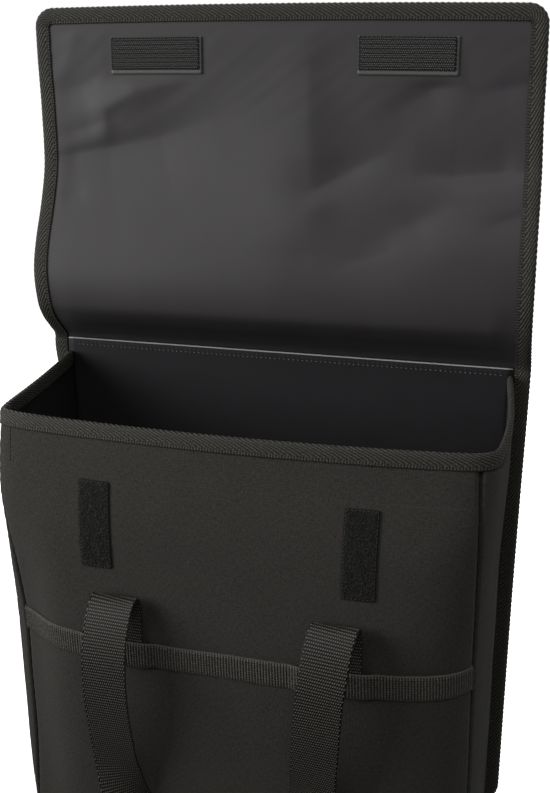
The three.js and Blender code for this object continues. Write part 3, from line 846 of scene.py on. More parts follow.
# Each fold is a bent line of knots: x and rise from the middle of the hinge, the swell towards the
# front, and the widths of its flanks to the left and right of its run.
FLAP_FOLDS = [
    [(-178, 145, -1.6, 5, 26), (-136, 153.5, -3.2, 9, 36), (-94, 161, -3, 13, 36), (-52, 176, -1.2, 16, 30)],
    [(-137, 163, 0.8, 15, 6), (-136, 183, 1.8, 15, 7), (-112, 194, 2.5, 14, 10), (-84, 205, 1.2, 14, 9)],
    [(-179, 160, -0.8, 9, 10), (-150, 169, -1.2, 9, 9), (-138, 172, -0.5, 7, 8)],
    [(-180, 194, -1.0, 9, 14), (-156, 199, -0.9, 9, 14), (-146, 204, -0.4, 8, 10)],
    [(-172, 208, 0.4, 9, 7), (-158, 232, 0.5, 9, 7)],
    [(27, 126, 4.4, 46, 16), (25, 150, 4.8, 48, 19), (23, 185, 3.0, 42, 16), (22, 214, 1.4, 30, 12)],
    [(30, 127, -3.2, 20, 7), (56, 141, -2.8, 18, 8), (80, 154, -1.0, 14, 10)],
    [(30, 84, -1.0, 16, 24), (70, 90, -2.6, 20, 22), (105, 106, -3.8, 20, 18), (130, 122, -1.2, 16, 18)],
    [(58, 77, -0.6, 9, 5), (86, 87, -0.6, 9, 5)],
    [(100, 142, -1.0, 20, 9), (130, 139.5, -3.6, 22, 7), (177, 144, -3.8, 20, 6), (184, 145, -3.0, 16, 6)],
    [(92, 186, -1.2, 12, 16), (110, 196, -2.5, 12, 14), (128, 208, -1.0, 10, 12)],
    [(146, 196, -1.0, 7, 14), (182, 204, -2.4, 6, 18)],
    [(160, 108, -0.7, 5, 10), (184, 117, -2.0, 5, 14)],
    [(-166, 117, -0.5, 6, 6), (-158, 119, -0.5, 6, 6)],
    [(-160, 30, 1.5, 18, 12), (0, 32, 3.5, 18, 12), (160, 32, 2.5, 18, 12)],
]
CREASE = 1.6  # how sharply a fold bends at its line: 2 is soft, 1 a knife edge
BILLOW = 0.4  # height of the soft unevenness between the folds
DRAG_HEIGHT = 0.2  # height of the fine drag lines near the top
DRAG_TURN = math.radians(36)  # they rise to the right at this angle
DRAG_LOW, DRAG_HIGH = 150, 200  # they grow between these rises
FLAT_FADE = 9  # distance from the top, the hinge and the patches over which the cloth lies flatter
EDGE_FADE, EDGE_SHARE = 14, 0.6  # the side edges keep this share of the folds


def nearest_on_fold(fold, x, rise):
    """Distance from a fold's line, in widths of the flank that the place lies on, with the swell there."""
    nearest = math.inf
    for start, end in zip(fold, fold[1:]):
        run_x, run_rise = end[0] - start[0], end[1] - start[1]
        run = math.hypot(run_x, run_rise)
        share = ((x - start[0]) * run_x + (rise - start[1]) * run_rise) / run**2
        share = min(max(share, 0), 1)
        off_x, off_rise = x - start[0] - run_x * share, rise - start[1] - run_rise * share
        distance = math.hypot(off_x, off_rise)
        if distance < nearest:
            nearest = distance
            leftward = (run_x * off_rise - run_rise * off_x) / max(run * distance, 1e-6)
            swell, left, right = (mix(start[i], end[i], share) for i in (2, 3, 4))
            away = distance / mix(right, left, 0.5 + 0.5 * leftward)
    return away, swell


@lru_cache(maxsize=None)
def fold_swell(x, rise):
    """Height of all the folds at one place of the flap, dying out where the cloth is sewn down."""
    from_side = SPINE_HALF_WIDTH - abs(x) - BINDING_COVER
    from_edge = min(SPINE_TOP - rise, rise) - BINDING_COVER
    beside_patch = abs(abs(x) - HOOK_X) - HOOK_WIDTH / 2
    below_patch = abs(rise - HOOK_RISE) - HOOK_HEIGHT / 2
    room = min(from_edge, max(beside_patch, below_patch))
    along = x * math.cos(DRAG_TURN) + rise * math.sin(DRAG_TURN)
    across = rise * math.cos(DRAG_TURN) - x * math.sin(DRAG_TURN)
    total = BILLOW * ripple(x / 60, rise / 45, seed=2.4)
    total += DRAG_HEIGHT * ripple(across / 8, along / 55, seed=12.7) * ease(rise, DRAG_LOW, DRAG_HIGH)
    for fold in FLAP_FOLDS:
        away, swell = nearest_on_fold(fold, x, rise)
        total += swell * math.exp(-(away**CREASE))
    return total * ease(room, 0, FLAT_FADE) * mix(EDGE_SHARE, 1, ease(from_side, 0, EDGE_FADE))


def strayed(x, rise):
    """A place across the spine, moved out with the stray of the nearer edge."""
    stray = curve(FLAP_STRAY, "rise", "right" if x > 0 else "left", rise)
    return x + math.copysign(stray * (x / SPINE_HALF_WIDTH) ** 4, x)


def spine(x, rise):
    """Middle of the cloth of the flap, and of the back panel below the hinge."""
    edge_share = x / SPINE_HALF_WIDTH
    out_x = strayed(x, rise)
    if rise <= 0:
        return Vector((out_x, SPINE_Y, HINGE + rise))
    left = curve(FLAP_LEAN, "rise", "left", rise)
    right = curve(FLAP_LEAN, "rise", "right", rise)
    lean = mix(left, right, edge_share / 2 + 0.5)
    crown = TOP_CROWN * (1 - edge_share**2) * ease(rise, CROWN_START, SPINE_TOP)
    return Vector((out_x, SPINE_Y - lean - fold_swell(x, rise), HINGE + rise + crown))


def off_spine(x, rise, distance):
    return spine(x, rise) + normal_of(spine, x, rise) * distance


def spine_half_width(rise):
    """Half width of the spine, less at its rounded corners."""
    into_top = max(rise - (SPINE_TOP - TOP_RADIUS), 0)
    into_foot = max(SPINE_FOOT + FOOT_RADIUS - rise, 0)
    top_cut = TOP_RADIUS - math.sqrt(max(TOP_RADIUS**2 - into_top**2, 0))
    foot_cut = FOOT_RADIUS - math.sqrt(max(FOOT_RADIUS**2 - into_foot**2, 0))
    return SPINE_HALF_WIDTH - top_cut - foot_cut


print("flap rises", round(SPINE_TOP, 1), "mm above the hinge")

# %% [markdown]
# Flap and back panel
#
# Both are the same stiff cloth, coated towards the viewer and woven on the far side. The grid faces
# the front, so the coating comes first and the weave is the inner finish of the Solidify modifier.

# %% Flap and back panel
HINGE_GAP = 0.15  # from the hinge to the edge of each cloth


def add_spine_cloth(name, node, low, high, columns, rows, finishes):
    def place(across, up):
        rise = mix(low, high, up)
        return off_spine((2 * across - 1) * spine_half_width(rise), rise, SPINE / 2)

    width = 2 * SPINE_HALF_WIDTH
    middle = [spine(0, mix(low, high, i / rows)) for i in range(rows + 1)]
    length = sum((after - before).length for before, after in zip(middle, middle[1:]))
    shape = woven_grid(columns, rows, place, width, length)
    piece = finish_piece(name, shape, finishes, [node])
    thicken(piece, SPINE, inner_finish=1, rim_finish=1)


add_spine_cloth(
    "flap_cloth", "flap", HINGE_GAP, SPINE_TOP, 184, 130, [flap_coating, outer_weave]
)
add_spine_cloth(
    "back_cloth", "back_panel", SPINE_FOOT, -HINGE_GAP, 60, 60, [inner_coating, outer_weave]
)

# %% [markdown]
# Liner
#
# A smooth dark sheet lines the back. It was cut from a thicker board with a pale core, so its top edge
# shows as one light line along the hinge. The last rows of its grid lean back and take the pale
# finish, which makes that edge a real bevel.

# %% Liner
LINER_WALL = 0.75  # thickness
LINER_SEAT = 0.4  # the sheet's face lies this far behind the front of its solid
LINER_WAVE = 0.35  # height of its soft waves
LINER_HALF_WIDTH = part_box("back_liner")[1].x / MM
LINER_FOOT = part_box("back_liner")[0].z / MM
CUT_EDGE = 0.9  # height of the pale bevel
CUT_LEAN = 0.75  # how far the bevel leans back
BEVEL_START = 0.96  # share of the rows below the bevel


def add_liner():
    def place(across, up):
        flat_rows = min(up / BEVEL_START, 1)
        bevel = max(up - BEVEL_START, 0) / (1 - BEVEL_START)
        height = mix(LINER_FOOT, HINGE - CUT_EDGE, flat_rows) + CUT_EDGE * bevel
        corner = max(FOOT_RADIUS - (height - LINER_FOOT), 0)
        x = strayed((2 * across - 1) * (LINER_HALF_WIDTH - corner), height - HINGE)
        wave = LINER_WAVE * ripple(x / 90, height / 70, seed=5.5) * ease(HINGE - height, 4, 40)
        return Vector((x, LINER_Y + LINER_SEAT + wave + CUT_LEAN * bevel**1.5, height))

    width, length = 2 * LINER_HALF_WIDTH, HINGE - LINER_FOOT
    shape = woven_grid(72, 75, place, width, length)
    for face in shape.faces:
        if face.calc_center_median().z > (HINGE - CUT_EDGE) * MM:
            face.material_index = 1
    piece = finish_piece("liner_sheet", shape, [inner_coating, cut_edge], ["back_liner"])
    thicken(piece, LINER_WALL)


add_liner()

# %% [markdown]
# Binding tape
#
# A folded twill tape covers every raw edge. Its section is a hairpin: flat and stitched down at the
# two lips, soft and round at the nose. The section is swept along the edge of the cloth, and the
# twill ribs are raised in the mesh, so they also show as a fine toothing of the outline.

# %% Sweep a tape along an edge
TAPE_WALL = 0.6  # thickness
EDGE_SAMPLES = 1500  # points that measure the length of an edge
EDGE_STEP = 0.0004  # share of an edge over which its direction is measured
MERGE_DISTANCE = 0.02 * MM
TWILL_HEIGHT = 0.2
TAPE_STEP = SELVEDGE_PITCH / 2  # length of the mesh's cells along the tape
TAPE_ROWS = 13  # rows of corners from a lip to the nose
# From a lip (share 0) to the nose (share 1): inward is the distance into the cloth from its edge,
# lift the height above the cloth's face, and body falls to 0 where the tape turns over.
TAPE_SECTION = [
    dict(share=0, inward=10.4, lift=0.75, body=1),
    dict(share=0.16, inward=8.4, lift=0.65, body=1),
    dict(share=0.4, inward=5, lift=1.15, body=1),
    dict(share=0.66, inward=2, lift=1.3, body=1),
    dict(share=0.84, inward=0.2, lift=1.0, body=0.97),
    dict(share=0.94, inward=-1.0, lift=0.8, body=0.62),
    dict(share=1, inward=-1.5, lift=0.8, body=0),
]


def twill(along, across):
    """Height of the tape's ribs at a place of the flat tape."""
    if min(across, TAPE_WIDTH - across) < SELVEDGE:
        return math.cos(2 * math.pi * along / SELVEDGE_PITCH)
    return math.cos(2 * math.pi * (along - TWILL_SLOPE * across) / TWILL_PITCH)


def spaced(points, spacing):
    """Shares of even steps along a line of points, with its length."""
    steps = [(after - before).length for before, after in zip(points, points[1:])]
    travelled = np.concatenate([[0], np.cumsum(steps)])
    count = round(travelled[-1] / spacing)
    even = np.linspace(0, travelled[-1], count + 1)
    return np.interp(even, travelled, np.linspace(0, 1, len(points))), travelled[-1]


def square_to(direction, tangent):
    """The part of a direction that is square to a tangent, as a unit vector."""
    return (direction - tangent * direction.dot(tangent)).normalized()


def edge_frame(edge, share):
    """Place on an edge, with its directions along, out of the cloth and into the cloth."""
    point, normal = edge(share)
    along = edge(min(share + EDGE_STEP, 1))[0] - edge(max(share - EDGE_STEP, 0))[0]
    along.normalize()
    out = square_to(normal, along)
    return point, along, out, out.cross(along)


def sweep_tape(name, edge, half_cloth, node, closed):
    """edge gives the point and the cloth's normal at a share of the way along the edge."""
    rough = [edge(i / EDGE_SAMPLES)[0] for i in range(EDGE_SAMPLES + 1)]
    shares, length = spaced(rough, TAPE_STEP)
    frames = [edge_frame(edge, share) for share in shares]
    section = [
        {key: curve(TAPE_SECTION, "share", key, share) for key in TAPE_SECTION[0]}
        for share in np.linspace(0, 1, TAPE_ROWS)
    ]
    rows = 2 * len(section) - 2
    columns = len(frames) - 1

    def place(along, across):
        point, _, out, inward = frames[round(along * columns)]
        row = round((1 - across) * rows)
        front = row < len(section)
        part = section[row if front else rows - row]
        rib = TWILL_HEIGHT * twill(along * length, row / rows * TAPE_WIDTH)
        lift = (half_cloth + part["lift"] + rib) * part["body"]
        depth = part["inward"] - rib * (1 - part["body"])
        return point + inward * depth + out * (lift if front else -lift)

    shape = woven_grid(columns, rows, place, length, -TAPE_WIDTH)
    if closed:
        bmesh.ops.remove_doubles(shape, verts=shape.verts, dist=MERGE_DISTANCE)
    piece = finish_piece(name, shape, [twill_tape], [node])
    thicken(piece, TAPE_WALL)


print("tape", TAPE_WIDTH, "mm wide before it is folded")

# %% [markdown]
# Round the flap and the back
#
# This tape starts and ends at the middle of the foot and runs up one side, over the flap and down the
# other. The path is a rounded rectangle on the spine's surface.

# %% Tape round the spine


def rounded_path():
    """Places (x, rise) round the edge of the spine, from the middle of its foot."""
    path = [(0.0, SPINE_FOOT)]
    turns = np.linspace(0, math.pi / 2, 16)
    for turn in turns:
        x = SPINE_HALF_WIDTH - FOOT_RADIUS * (1 - math.sin(turn))
        path.append((x, SPINE_FOOT + FOOT_RADIUS * (1 - math.cos(turn))))
    for turn in turns:
        x = SPINE_HALF_WIDTH - TOP_RADIUS * (1 - math.cos(turn))
        path.append((x, SPINE_TOP - TOP_RADIUS * (1 - math.sin(turn))))
    path += [(-x, rise) for x, rise in reversed(path)]
    return np.array(path)


SPINE_PATH = rounded_path()
PATH_STEPS = np.hypot(*np.diff(SPINE_PATH, axis=0).T)
PATH_TRAVEL = np.concatenate([[0], np.cumsum(PATH_STEPS)]) / PATH_STEPS.sum()


def spine_edge(share):
    x = float(np.interp(share, PATH_TRAVEL, SPINE_PATH[:, 0]))
    rise = float(np.interp(share, PATH_TRAVEL, SPINE_PATH[:, 1]))
    return spine(x, rise), normal_of(spine, x, rise)


sweep_tape("edge_tape", spine_edge, SPINE / 2, "edge_binding", closed=True)

# %% [markdown]
# Over the mouth
#
# The second tape runs from the right end of the mouth round the front to the left end.

# %% Tape over the mouth
TAPE_END_GAP = 3.0  # from the ends of the tape to the liner


def mouth_place(share):
    """Distance along the cloth and height of the mouth's edge."""
    reach = [side_end(side, BACK_TOP) - TAPE_END_GAP for side in (1, -1)]
    along = mix(reach[0], -reach[1], share)
    side = 1 if along > 0 else -1
    start = seam_at(side, FRONT_TOP)
    turned = (abs(along) - start) / (side_end(side, BACK_TOP) - start)
    return along, mouth_height(side, max(turned, 0))


def mouth_edge(share):
    along, height = mouth_place(share)
    point = off_wall(along, height, -CLOTH / 2)
    return point, normal_of(wall, along, height)


sweep_tape("mouth_tape", mouth_edge, CLOTH / 2, "mouth_binding", closed=False)

# %% [markdown]
# Band across the front
#
# A ribbed band is sewn across the front and holds the ends of the handle. It humps over them and lies
# on the cloth elsewhere. Its cross ribs are modelled, with a smooth selvedge along each edge.

# %% Ribbed band
BAND = 1.0  # thickness
WEBBING_WIDTH = 33
WEBBING = 1.8  # thickness
HANDLE_X = 80
RIB_HEIGHT = 0.26
RIB_END = 1.6  # the ribs die out over this distance from each edge
EDGE_ROLL, ROLL_REACH = 0.3, 1.2  # the edges are rolled down a little
BAND_SAG = 0.7  # how far the band wanders up and down
BAND_SEAM_GAP = 0.4  # from each end of the band to the seam
BAND_SEAT = 0.3  # from the cloth to the band
HANDLE_ROOM = WEBBING + 0.6  # how much higher it lies over the ends of the handle
HUMP_START, HUMP_END = 5, 15  # distances from the webbing over which it comes down again
CELLS_PER_RIB = 6


def band_seat(along):
    """Height of the band above the cloth, more over the ends of the handle."""
    from_handle = abs(abs(along) - HANDLE_X) - WEBBING_WIDTH / 2
    return BAND_SEAT + HANDLE_ROOM * (1 - ease(from_handle, HUMP_START, HUMP_END))


def add_band():
    length = seam_at(-1, BAND_HIGH) + seam_at(1, BAND_HIGH) - 2 * BAND_SEAM_GAP

    def place(across, up):
        from_edge = min(up, 1 - up) * BAND_WIDTH
        rib = RIB_HEIGHT * math.cos(2 * math.pi * across * length / RIB_PITCH) * ease(from_edge, 0, RIB_END)
        rolled = EDGE_ROLL * (1 - ease(from_edge, 0, ROLL_REACH))
        sag = BAND_SAG * ripple(across * 11, 0.5, seed=9.2)
        height = mix(BAND_LOW, BAND_HIGH, up) + sag
        along = between_seams(across, height, BAND_SEAM_GAP)
        return on_body(along, height, band_seat(along) + BAND + rib - rolled)

    columns = round(length / RIB_PITCH * CELLS_PER_RIB)
    shape = woven_grid(columns, 12, place, length, BAND_WIDTH)
    piece = finish_piece("ribbed_band", shape, [ribbed_band], ["front_band"])
    thicken(piece, BAND)


add_band()

# %% [markdown]
# Handle
#
# One strip of heavy webbing makes the handle. Its sewn ends lie flat behind the band, it rolls over in
# a soft loop above it, hangs down both sides and stands on edge at the lowest point. The strip is a
# closed flat tube, and the basket weave is raised on both of its faces.

# %% Handle
# The middle line of one half of the handle. clear is measured out from the front, drift is how far
# the loop hangs to the left, and turn is its twist in degrees from lying flat.
HANDLE_LINE = [
    dict(height=182, clear=1.35, x=80, drift=-4, turn=-2),
    dict(height=199, clear=1.35, x=80, drift=-4, turn=-2),
    dict(height=216, clear=1.6, x=80, drift=-4, turn=-2),
    dict(height=229, clear=3, x=80, drift=-3.5, turn=-1),
    dict(height=234.5, clear=7, x=80, drift=-3, turn=0),
    dict(height=232, clear=13, x=80, drift=-2, turn=0),
    dict(height=222, clear=19.5, x=79.5, drift=-1, turn=0),
    dict(height=206, clear=24.5, x=79, drift=0, turn=0),
    dict(height=188, clear=27, x=78, drift=1, turn=0),
    dict(height=160, clear=26, x=77, drift=2, turn=0),
    dict(height=130, clear=21, x=75.5, drift=3.2, turn=1),
    dict(height=98, clear=14, x=73.5, drift=5, turn=8),
    dict(height=68, clear=15, x=63.5, drift=6.5, turn=36),
    dict(height=46, clear=18.5, x=39, drift=6, turn=70),
    dict(height=39, clear=20, x=0, drift=5, turn=90),
]
YARN_PITCH = WEBBING_WIDTH / 21  # between neighbouring yarns
ROW_PITCH = 2.25  # between rows of the weave
WEAVE_HEIGHT = 0.4
SELVEDGE_LIFT, EDGE_LIFT = 0.4, 0.3  # weave height at the outermost yarns; on the edges, painted shade only
EDGE_BULGE = 0.35  # how far the edges round outwards
FACE_CELLS, EDGE_CELLS = 42, 3  # cells of the mesh across each face and each edge
ROUND_CELLS = 2 * (FACE_CELLS + EDGE_CELLS)
LINE_SAMPLES = 1200  # points that measure the length of the middle line
LINE_STEP = 0.001  # share of the line over which its direction is measured


def handle_knots():
    """Places and twists along the whole handle, keyed by the travelled centripetal distance."""
    knots = []
    for side in (1, -1):
        half = []
        for row in HANDLE_LINE:
            foot = wall(side * row["x"], row["height"])
            point = Vector((side * row["x"] - row["drift"], foot.y - row["clear"], row["height"]))
            half.append((point, row["turn"] if side > 0 else 180 - row["turn"]))
        knots += half if side > 0 else half[-2::-1]
    travelled = 0.0
    rows = []
    for i, (point, turn) in enumerate(knots):
        if i:
            travelled += math.sqrt((point - knots[i - 1][0]).length)
        rows.append(dict(travelled=travelled, x=point.x, y=point.y, z=point.z, turn=turn))
    return rows


def webbing_section(step):
    """Place across the webbing, through it and outwards, and whether it lies on a face."""
    side = -1 if step < ROUND_CELLS / 2 else 1
    step %= ROUND_CELLS // 2
    if step <= FACE_CELLS:
        return -side * (step / FACE_CELLS - 0.5) * WEBBING_WIDTH, side, 1
    bulge = math.pi * (step - FACE_CELLS) / EDGE_CELLS
    return -side * (WEBBING_WIDTH / 2 + EDGE_BULGE * math.sin(bulge)), side * math.cos(bulge), 0


def basket_weave(across, row):
    """Height of the weave from 0 to 1: rows of beads, each set half a bead from the last."""
    if row % 2:
        return 0.0
    if abs(across) > WEBBING_WIDTH / 2 - 0.1:
        return SELVEDGE_LIFT
    shift = math.pi * (row // 2)
    return 0.6 + 0.4 * math.cos(2 * math.pi * across / YARN_PITCH + shift)


def add_handle():
    knots = handle_knots()
    end = knots[-1]["travelled"]

    def line(share):
        return Vector([curve(knots, "travelled", axis, share * end) for axis in "xyz"])

    rough = [line(i / LINE_SAMPLES) for i in range(LINE_SAMPLES + 1)]
    shares, length = spaced(rough, ROW_PITCH / 2)
    frames = []
    for share in shares:
        tangent = (line(min(share + LINE_STEP, 1)) - line(max(share - LINE_STEP, 0))).normalized()
        turn = math.radians(curve(knots, "travelled", "turn", share * end))
        broad = square_to(Vector((math.cos(turn), -math.sin(turn), 0)), tangent)
        frames.append((line(share), broad, tangent.cross(broad)))
    rows = len(frames) - 1

    def place(around, along):
        row = round(along * rows)
        point, broad, thick = frames[row]
        across, through, on_face = webbing_section(round(around * ROUND_CELLS))
        sunk = WEAVE_HEIGHT * (1 - basket_weave(across, row)) * on_face
        return point + broad * across + thick * through * (WEBBING / 2 - sunk)

    shape = woven_grid(ROUND_CELLS, rows, place, 2 * WEBBING_WIDTH, length)
    # The lift layer takes the weave's height to the webbing finish, which paints shade into the low places
    # and the edges.
    painted_shade_lift_layer = shape.verts.layers.float.new("lift")
    for i, vert in enumerate(shape.verts):
        row, step = divmod(i, ROUND_CELLS + 1)
        across, _, on_face = webbing_section(step)
        vert[painted_shade_lift_layer] = basket_weave(across, row) if on_face else EDGE_LIFT
    bmesh.ops.remove_doubles(shape, verts=shape.verts, dist=MERGE_DISTANCE)
    bmesh.ops.holes_fill(shape, edges=[edge for edge in shape.edges if edge.is_boundary])
    finish_piece("handle_webbing", shape, [webbing], ["handle"])
    print("handle is", round(length), "mm long")


add_handle()

# %% [markdown]
# Rack hooks
#
# Two bent steel hooks on the back hang the bag on a carrier's tube. The solid's side view is drawn
# as one strip of steel, extruded to its width, and all its edges are bevelled.

# %% Rack hooks
STEEL = 3.0  # thickness
STEEL_EDGE = 0.5  # width of the bevel on every edge
HOOK_CHANNEL = 16  # room for the carrier's tube
SEAT = 342  # height of the face that rests on the tube
SEAT_CHAMFER = 3
TIP_DROP = 26  # from the seat down to the tip


def add_rack_hook(label):
    low, high = (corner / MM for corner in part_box(f"rack_hook_{label}"))
    inner = low.y + STEEL
    outer = inner + HOOK_CHANNEL
    tip = SEAT - TIP_DROP
    outline_points = [
        (low.y, low.z),
        (inner, low.z),
        (inner, SEAT - SEAT_CHAMFER),
        (inner + SEAT_CHAMFER, SEAT),
        (outer - SEAT_CHAMFER, SEAT),
        (outer, SEAT - SEAT_CHAMFER),
        (outer, tip + STEEL),
        (outer + STEEL / 2, tip),
        (outer + STEEL, tip + STEEL),
        (outer + STEEL, SEAT - STEEL),
        (outer, SEAT + STEEL * 0.75),
        (outer - STEEL, high.z),
        (low.y, high.z),
    ]
    shape = bmesh.new()
    corners = [shape.verts.new(Vector((low.x, y, z)) * MM) for y, z in outline_points]
    side = shape.faces.new(corners)
    made = bmesh.ops.extrude_face_region(shape, geom=[side])
    moved = [part for part in made["geom"] if isinstance(part, bmesh.types.BMVert)]
    bmesh.ops.translate(shape, vec=((high.x - low.x) * MM, 0, 0), verts=moved)
    bmesh.ops.recalc_face_normals(shape, faces=shape.faces)
    bmesh.ops.bevel(
        shape, geom=shape.edges, offset=STEEL_EDGE * MM, affect="EDGES", segments=2, profile=0.5,
        material=-1,
    )
    finish_piece(f"bent_hook_{label}", shape, [coated_steel], [f"rack_hook_{label}"])


for label in SIDES:
    add_rack_hook(label)

# %% [markdown]
# Hook-and-loop patches
#
# Two upright loop patches on the front and two level hook patches on the flap close the bag. A loop
# patch is a tape with a roughened pile. A hook patch is a smooth tape, whose edges stay bare, with a
# darker field of hooks raised on it. Small things that repeat, such as the hooks, the fibres of the
# pile and later the stitches, are copies of one little model, joined into one mesh.

# %% Join many small copies


def take_model(shape):
    """Corners and faces of a small edited mesh, in millimetres."""
    bmesh.ops.recalc_face_normals(shape, faces=shape.faces)
    shape.verts.index_update()
    corners = np.array([vert.co[:] for vert in shape.verts])
    faces = np.array([[vert.index for vert in face.verts] for face in shape.faces])
    shape.free()
    return corners, faces


def scatter(name, model, frames, finish):
    """Joins one copy of a model for each frame: a place with three scaled axes."""
    corners, faces = model
    places = np.concatenate([np.array(point) + corners @ np.array(axes) for point, *axes in frames])
    steps = np.arange(len(frames)) * len(corners)
    all_faces = (faces[None, :, :] + steps[:, None, None]).reshape(-1, faces.shape[1])
    mesh = bpy.data.meshes.new(name)
    mesh.from_pydata((places * MM).tolist(), [], all_faces.tolist())
    add_piece(mesh, [finish])
    print(name, len(frames), "copies,", len(mesh.polygons), "faces")


def frame_on(surface, first, second, turn, lift=0.0):
    """Place and axes on a surface: along it at an angle, across it and out of it."""
    point = surface(first, second, lift)
    out = (surface(first, second, lift + 1) - point).normalized()
    right = surface(first + 0.5, second, lift) - point
    along = (right - out * right.dot(out)).normalized()
    across = out.cross(along)
    turned = along * math.cos(turn) + across * math.sin(turn)
    return point, turned, out.cross(turned), out


def hook_model():
    """A stiff hook, bent over by spinning a small ring."""
    shape = bmesh.new()
    bmesh.ops.create_circle(shape, segments=4, radius=0.24)
    ring = shape.verts[:] + shape.edges[:]
    bmesh.ops.spin(
        shape, geom=ring, cent=(0.42, 0, 0), axis=(0, 1, 0), angle=math.radians(210), steps=4
    )
    return take_model(shape)


def fibre_model():
    """A short fibre, one millimetre long and thick before it is scaled."""
    shape = bmesh.new()
    bmesh.ops.create_cube(shape, size=1)
    return take_model(shape)


HOOK = hook_model()
FIBRE = fibre_model()
print("hook with", len(HOOK[1]), "faces")

# %% Loop patches
LOOP_X, LOOP_LOW, LOOP_WIDTH, LOOP_HEIGHT = 96, 252, 24, 62
LOOP_ROUND = 1.6  # radius of the worn corners
LEFT_SLANT = 4  # the left patch's foot is sewn this much nearer the middle
PATCH = 0.8  # thickness
PATCH_FACE = 0.15 + PATCH  # height of a loop patch's face above the cloth
PILE_HEIGHT = 0.3
FUZZ, TUFTS = 0.6, 0.4  # fine and coarse unevenness of the pile
PILE_START, PILE_FULL = 0.6, 2.4  # distances from the edge between which the pile rises
PILE_FIBRES = 1100
FIBRE_LENGTH, FIBRE_WIDTH = 1.5, 0.16
FIBRE_LIFT = 0.1
chance = np.random.default_rng(11)


def on_loop_patch(side, across, height, distance):
    """A place at a distance above the bare face of a loop patch."""
    slant = LEFT_SLANT * (0.5 - (height - LOOP_LOW) / LOOP_HEIGHT) if side < 0 else 0
    return on_body(side * LOOP_X + across + slant, height, PATCH_FACE + distance)


def add_loop_patch(side, label):
    def on_pile(across, height, distance):
        from_edge = min(LOOP_WIDTH / 2 - abs(across), height - LOOP_LOW, LOOP_LOW + LOOP_HEIGHT - height)
        fuzz = FUZZ * ripple(across * 0.9, height * 0.9, seed=4.0)
        fuzz += TUFTS * ripple(across / 5, height / 5, seed=6.0)
        pile = ease(from_edge, PILE_START, PILE_FULL) * (PILE_HEIGHT + fuzz)
        return on_loop_patch(side, across, height, pile + distance)

    def place(across, up):
        into_corner = max(LOOP_ROUND - min(up, 1 - up) * LOOP_HEIGHT, 0)
        cut = LOOP_ROUND - math.sqrt(LOOP_ROUND**2 - into_corner**2)
        return on_pile((across - 0.5) * (LOOP_WIDTH - 2 * cut), LOOP_LOW + up * LOOP_HEIGHT, 0)

    shape = woven_grid(44, 120, place, LOOP_WIDTH, LOOP_HEIGHT)
    piece = finish_piece(f"loop_tape_{label}", shape, [loop_pile], [f"loop_patch_{label}"])
    fibres = []
    for _ in range(PILE_FIBRES):
        across = chance.uniform(-0.46, 0.46) * LOOP_WIDTH
        height = LOOP_LOW + chance.uniform(0.02, 0.98) * LOOP_HEIGHT
        turn = chance.uniform(0, 2 * math.pi)
        point, along, sideways, out = frame_on(on_pile, across, height, turn, FIBRE_LIFT)
        slope = chance.uniform(-0.5, 0.5)
        run = (along + out * slope) * FIBRE_LENGTH
        fibres.append((point, run, sideways * FIBRE_WIDTH, out * FIBRE_WIDTH))
    scatter(f"loop_fibres_{label}", FIBRE, fibres, pile_fibre)
    thicken(piece, PATCH)


print("loop patch", LOOP_WIDTH, "by", LOOP_HEIGHT, "mm")

# %% Hook patches
HOOK_SEAT = 0.3  # from the flap to the tape
HOOK_BASE = 0.8  # thickness of the tape
FIELD = 0.3  # thickness of the field of hooks
FIELD_SEAT = 0.1  # height of the field's rim above the tape
HOOK_FOOT = 0.35  # height of the hooks' feet above the tape
# The hooks leave a bare edge at the foot and the right end of their tape.
HOOK_FIELD_LOW = (-HOOK_WIDTH / 2 + 0.5, -HOOK_HEIGHT / 2 + 3.2)
HOOK_FIELD_HIGH = (HOOK_WIDTH / 2 - 1.7, HOOK_HEIGHT / 2 - 0.5)
FIELD_MARGIN = (1.6, 1.3)  # from the field's rim to the first hooks, sideways and up
HOOK_COLUMNS, HOOK_ROWS = 42, 14
HOOK_TURN, TURN_SPREAD = 20, 25  # degrees: rows turn to either side, each hook a little more or less


def on_hook_tape(side, across, up, distance):
    """A place at a distance above the back of a hook patch's tape."""
    return off_spine(side * HOOK_X + across, HOOK_RISE + up, SPINE / 2 + HOOK_SEAT + distance)


def add_hook_patch(side, label):
    on_tape = partial(on_hook_tape, side)
    low, high = HOOK_FIELD_LOW, HOOK_FIELD_HIGH

    def base_place(across, up):
        return on_tape((across - 0.5) * HOOK_WIDTH, (up - 0.5) * HOOK_HEIGHT, HOOK_BASE)

    def field_place(across, up):
        rim = ease(min(across, 1 - across, up, 1 - up), 0, 0.02)
        lift = HOOK_BASE + FIELD_SEAT + FIELD * rim
        return on_tape(mix(low[0], high[0], across), mix(low[1], high[1], up), lift)

    base = woven_grid(60, 22, base_place, HOOK_WIDTH, HOOK_HEIGHT)
    piece = finish_piece(f"hook_tape_{label}", base, [hook_selvedge], [f"hook_patch_{label}"])
    thicken(piece, HOOK_BASE)
    field = woven_grid(60, 20, field_place, high[0] - low[0], high[1] - low[1])
    thicken(finish_piece(f"hook_field_{label}", field, [hook_ground]), FIELD)
    first = [low[i] + FIELD_MARGIN[i] for i in (0, 1)]
    last = [high[i] - FIELD_MARGIN[i] for i in (0, 1)]
    hooks = []
    for row in range(HOOK_ROWS):
        for column in range(HOOK_COLUMNS):
            across = mix(first[0], last[0], (column + 0.5 * (row % 2)) / (HOOK_COLUMNS - 0.5))
            up = mix(first[1], last[1], row / (HOOK_ROWS - 1))
            turn = HOOK_TURN if row % 2 else -HOOK_TURN
            turn += chance.uniform(-TURN_SPREAD, TURN_SPREAD)
            hooks.append(frame_on(on_tape, across, up, math.radians(turn), HOOK_BASE + HOOK_FOOT))
    scatter(f"hook_row_{label}", HOOK, hooks, hook_plastic)


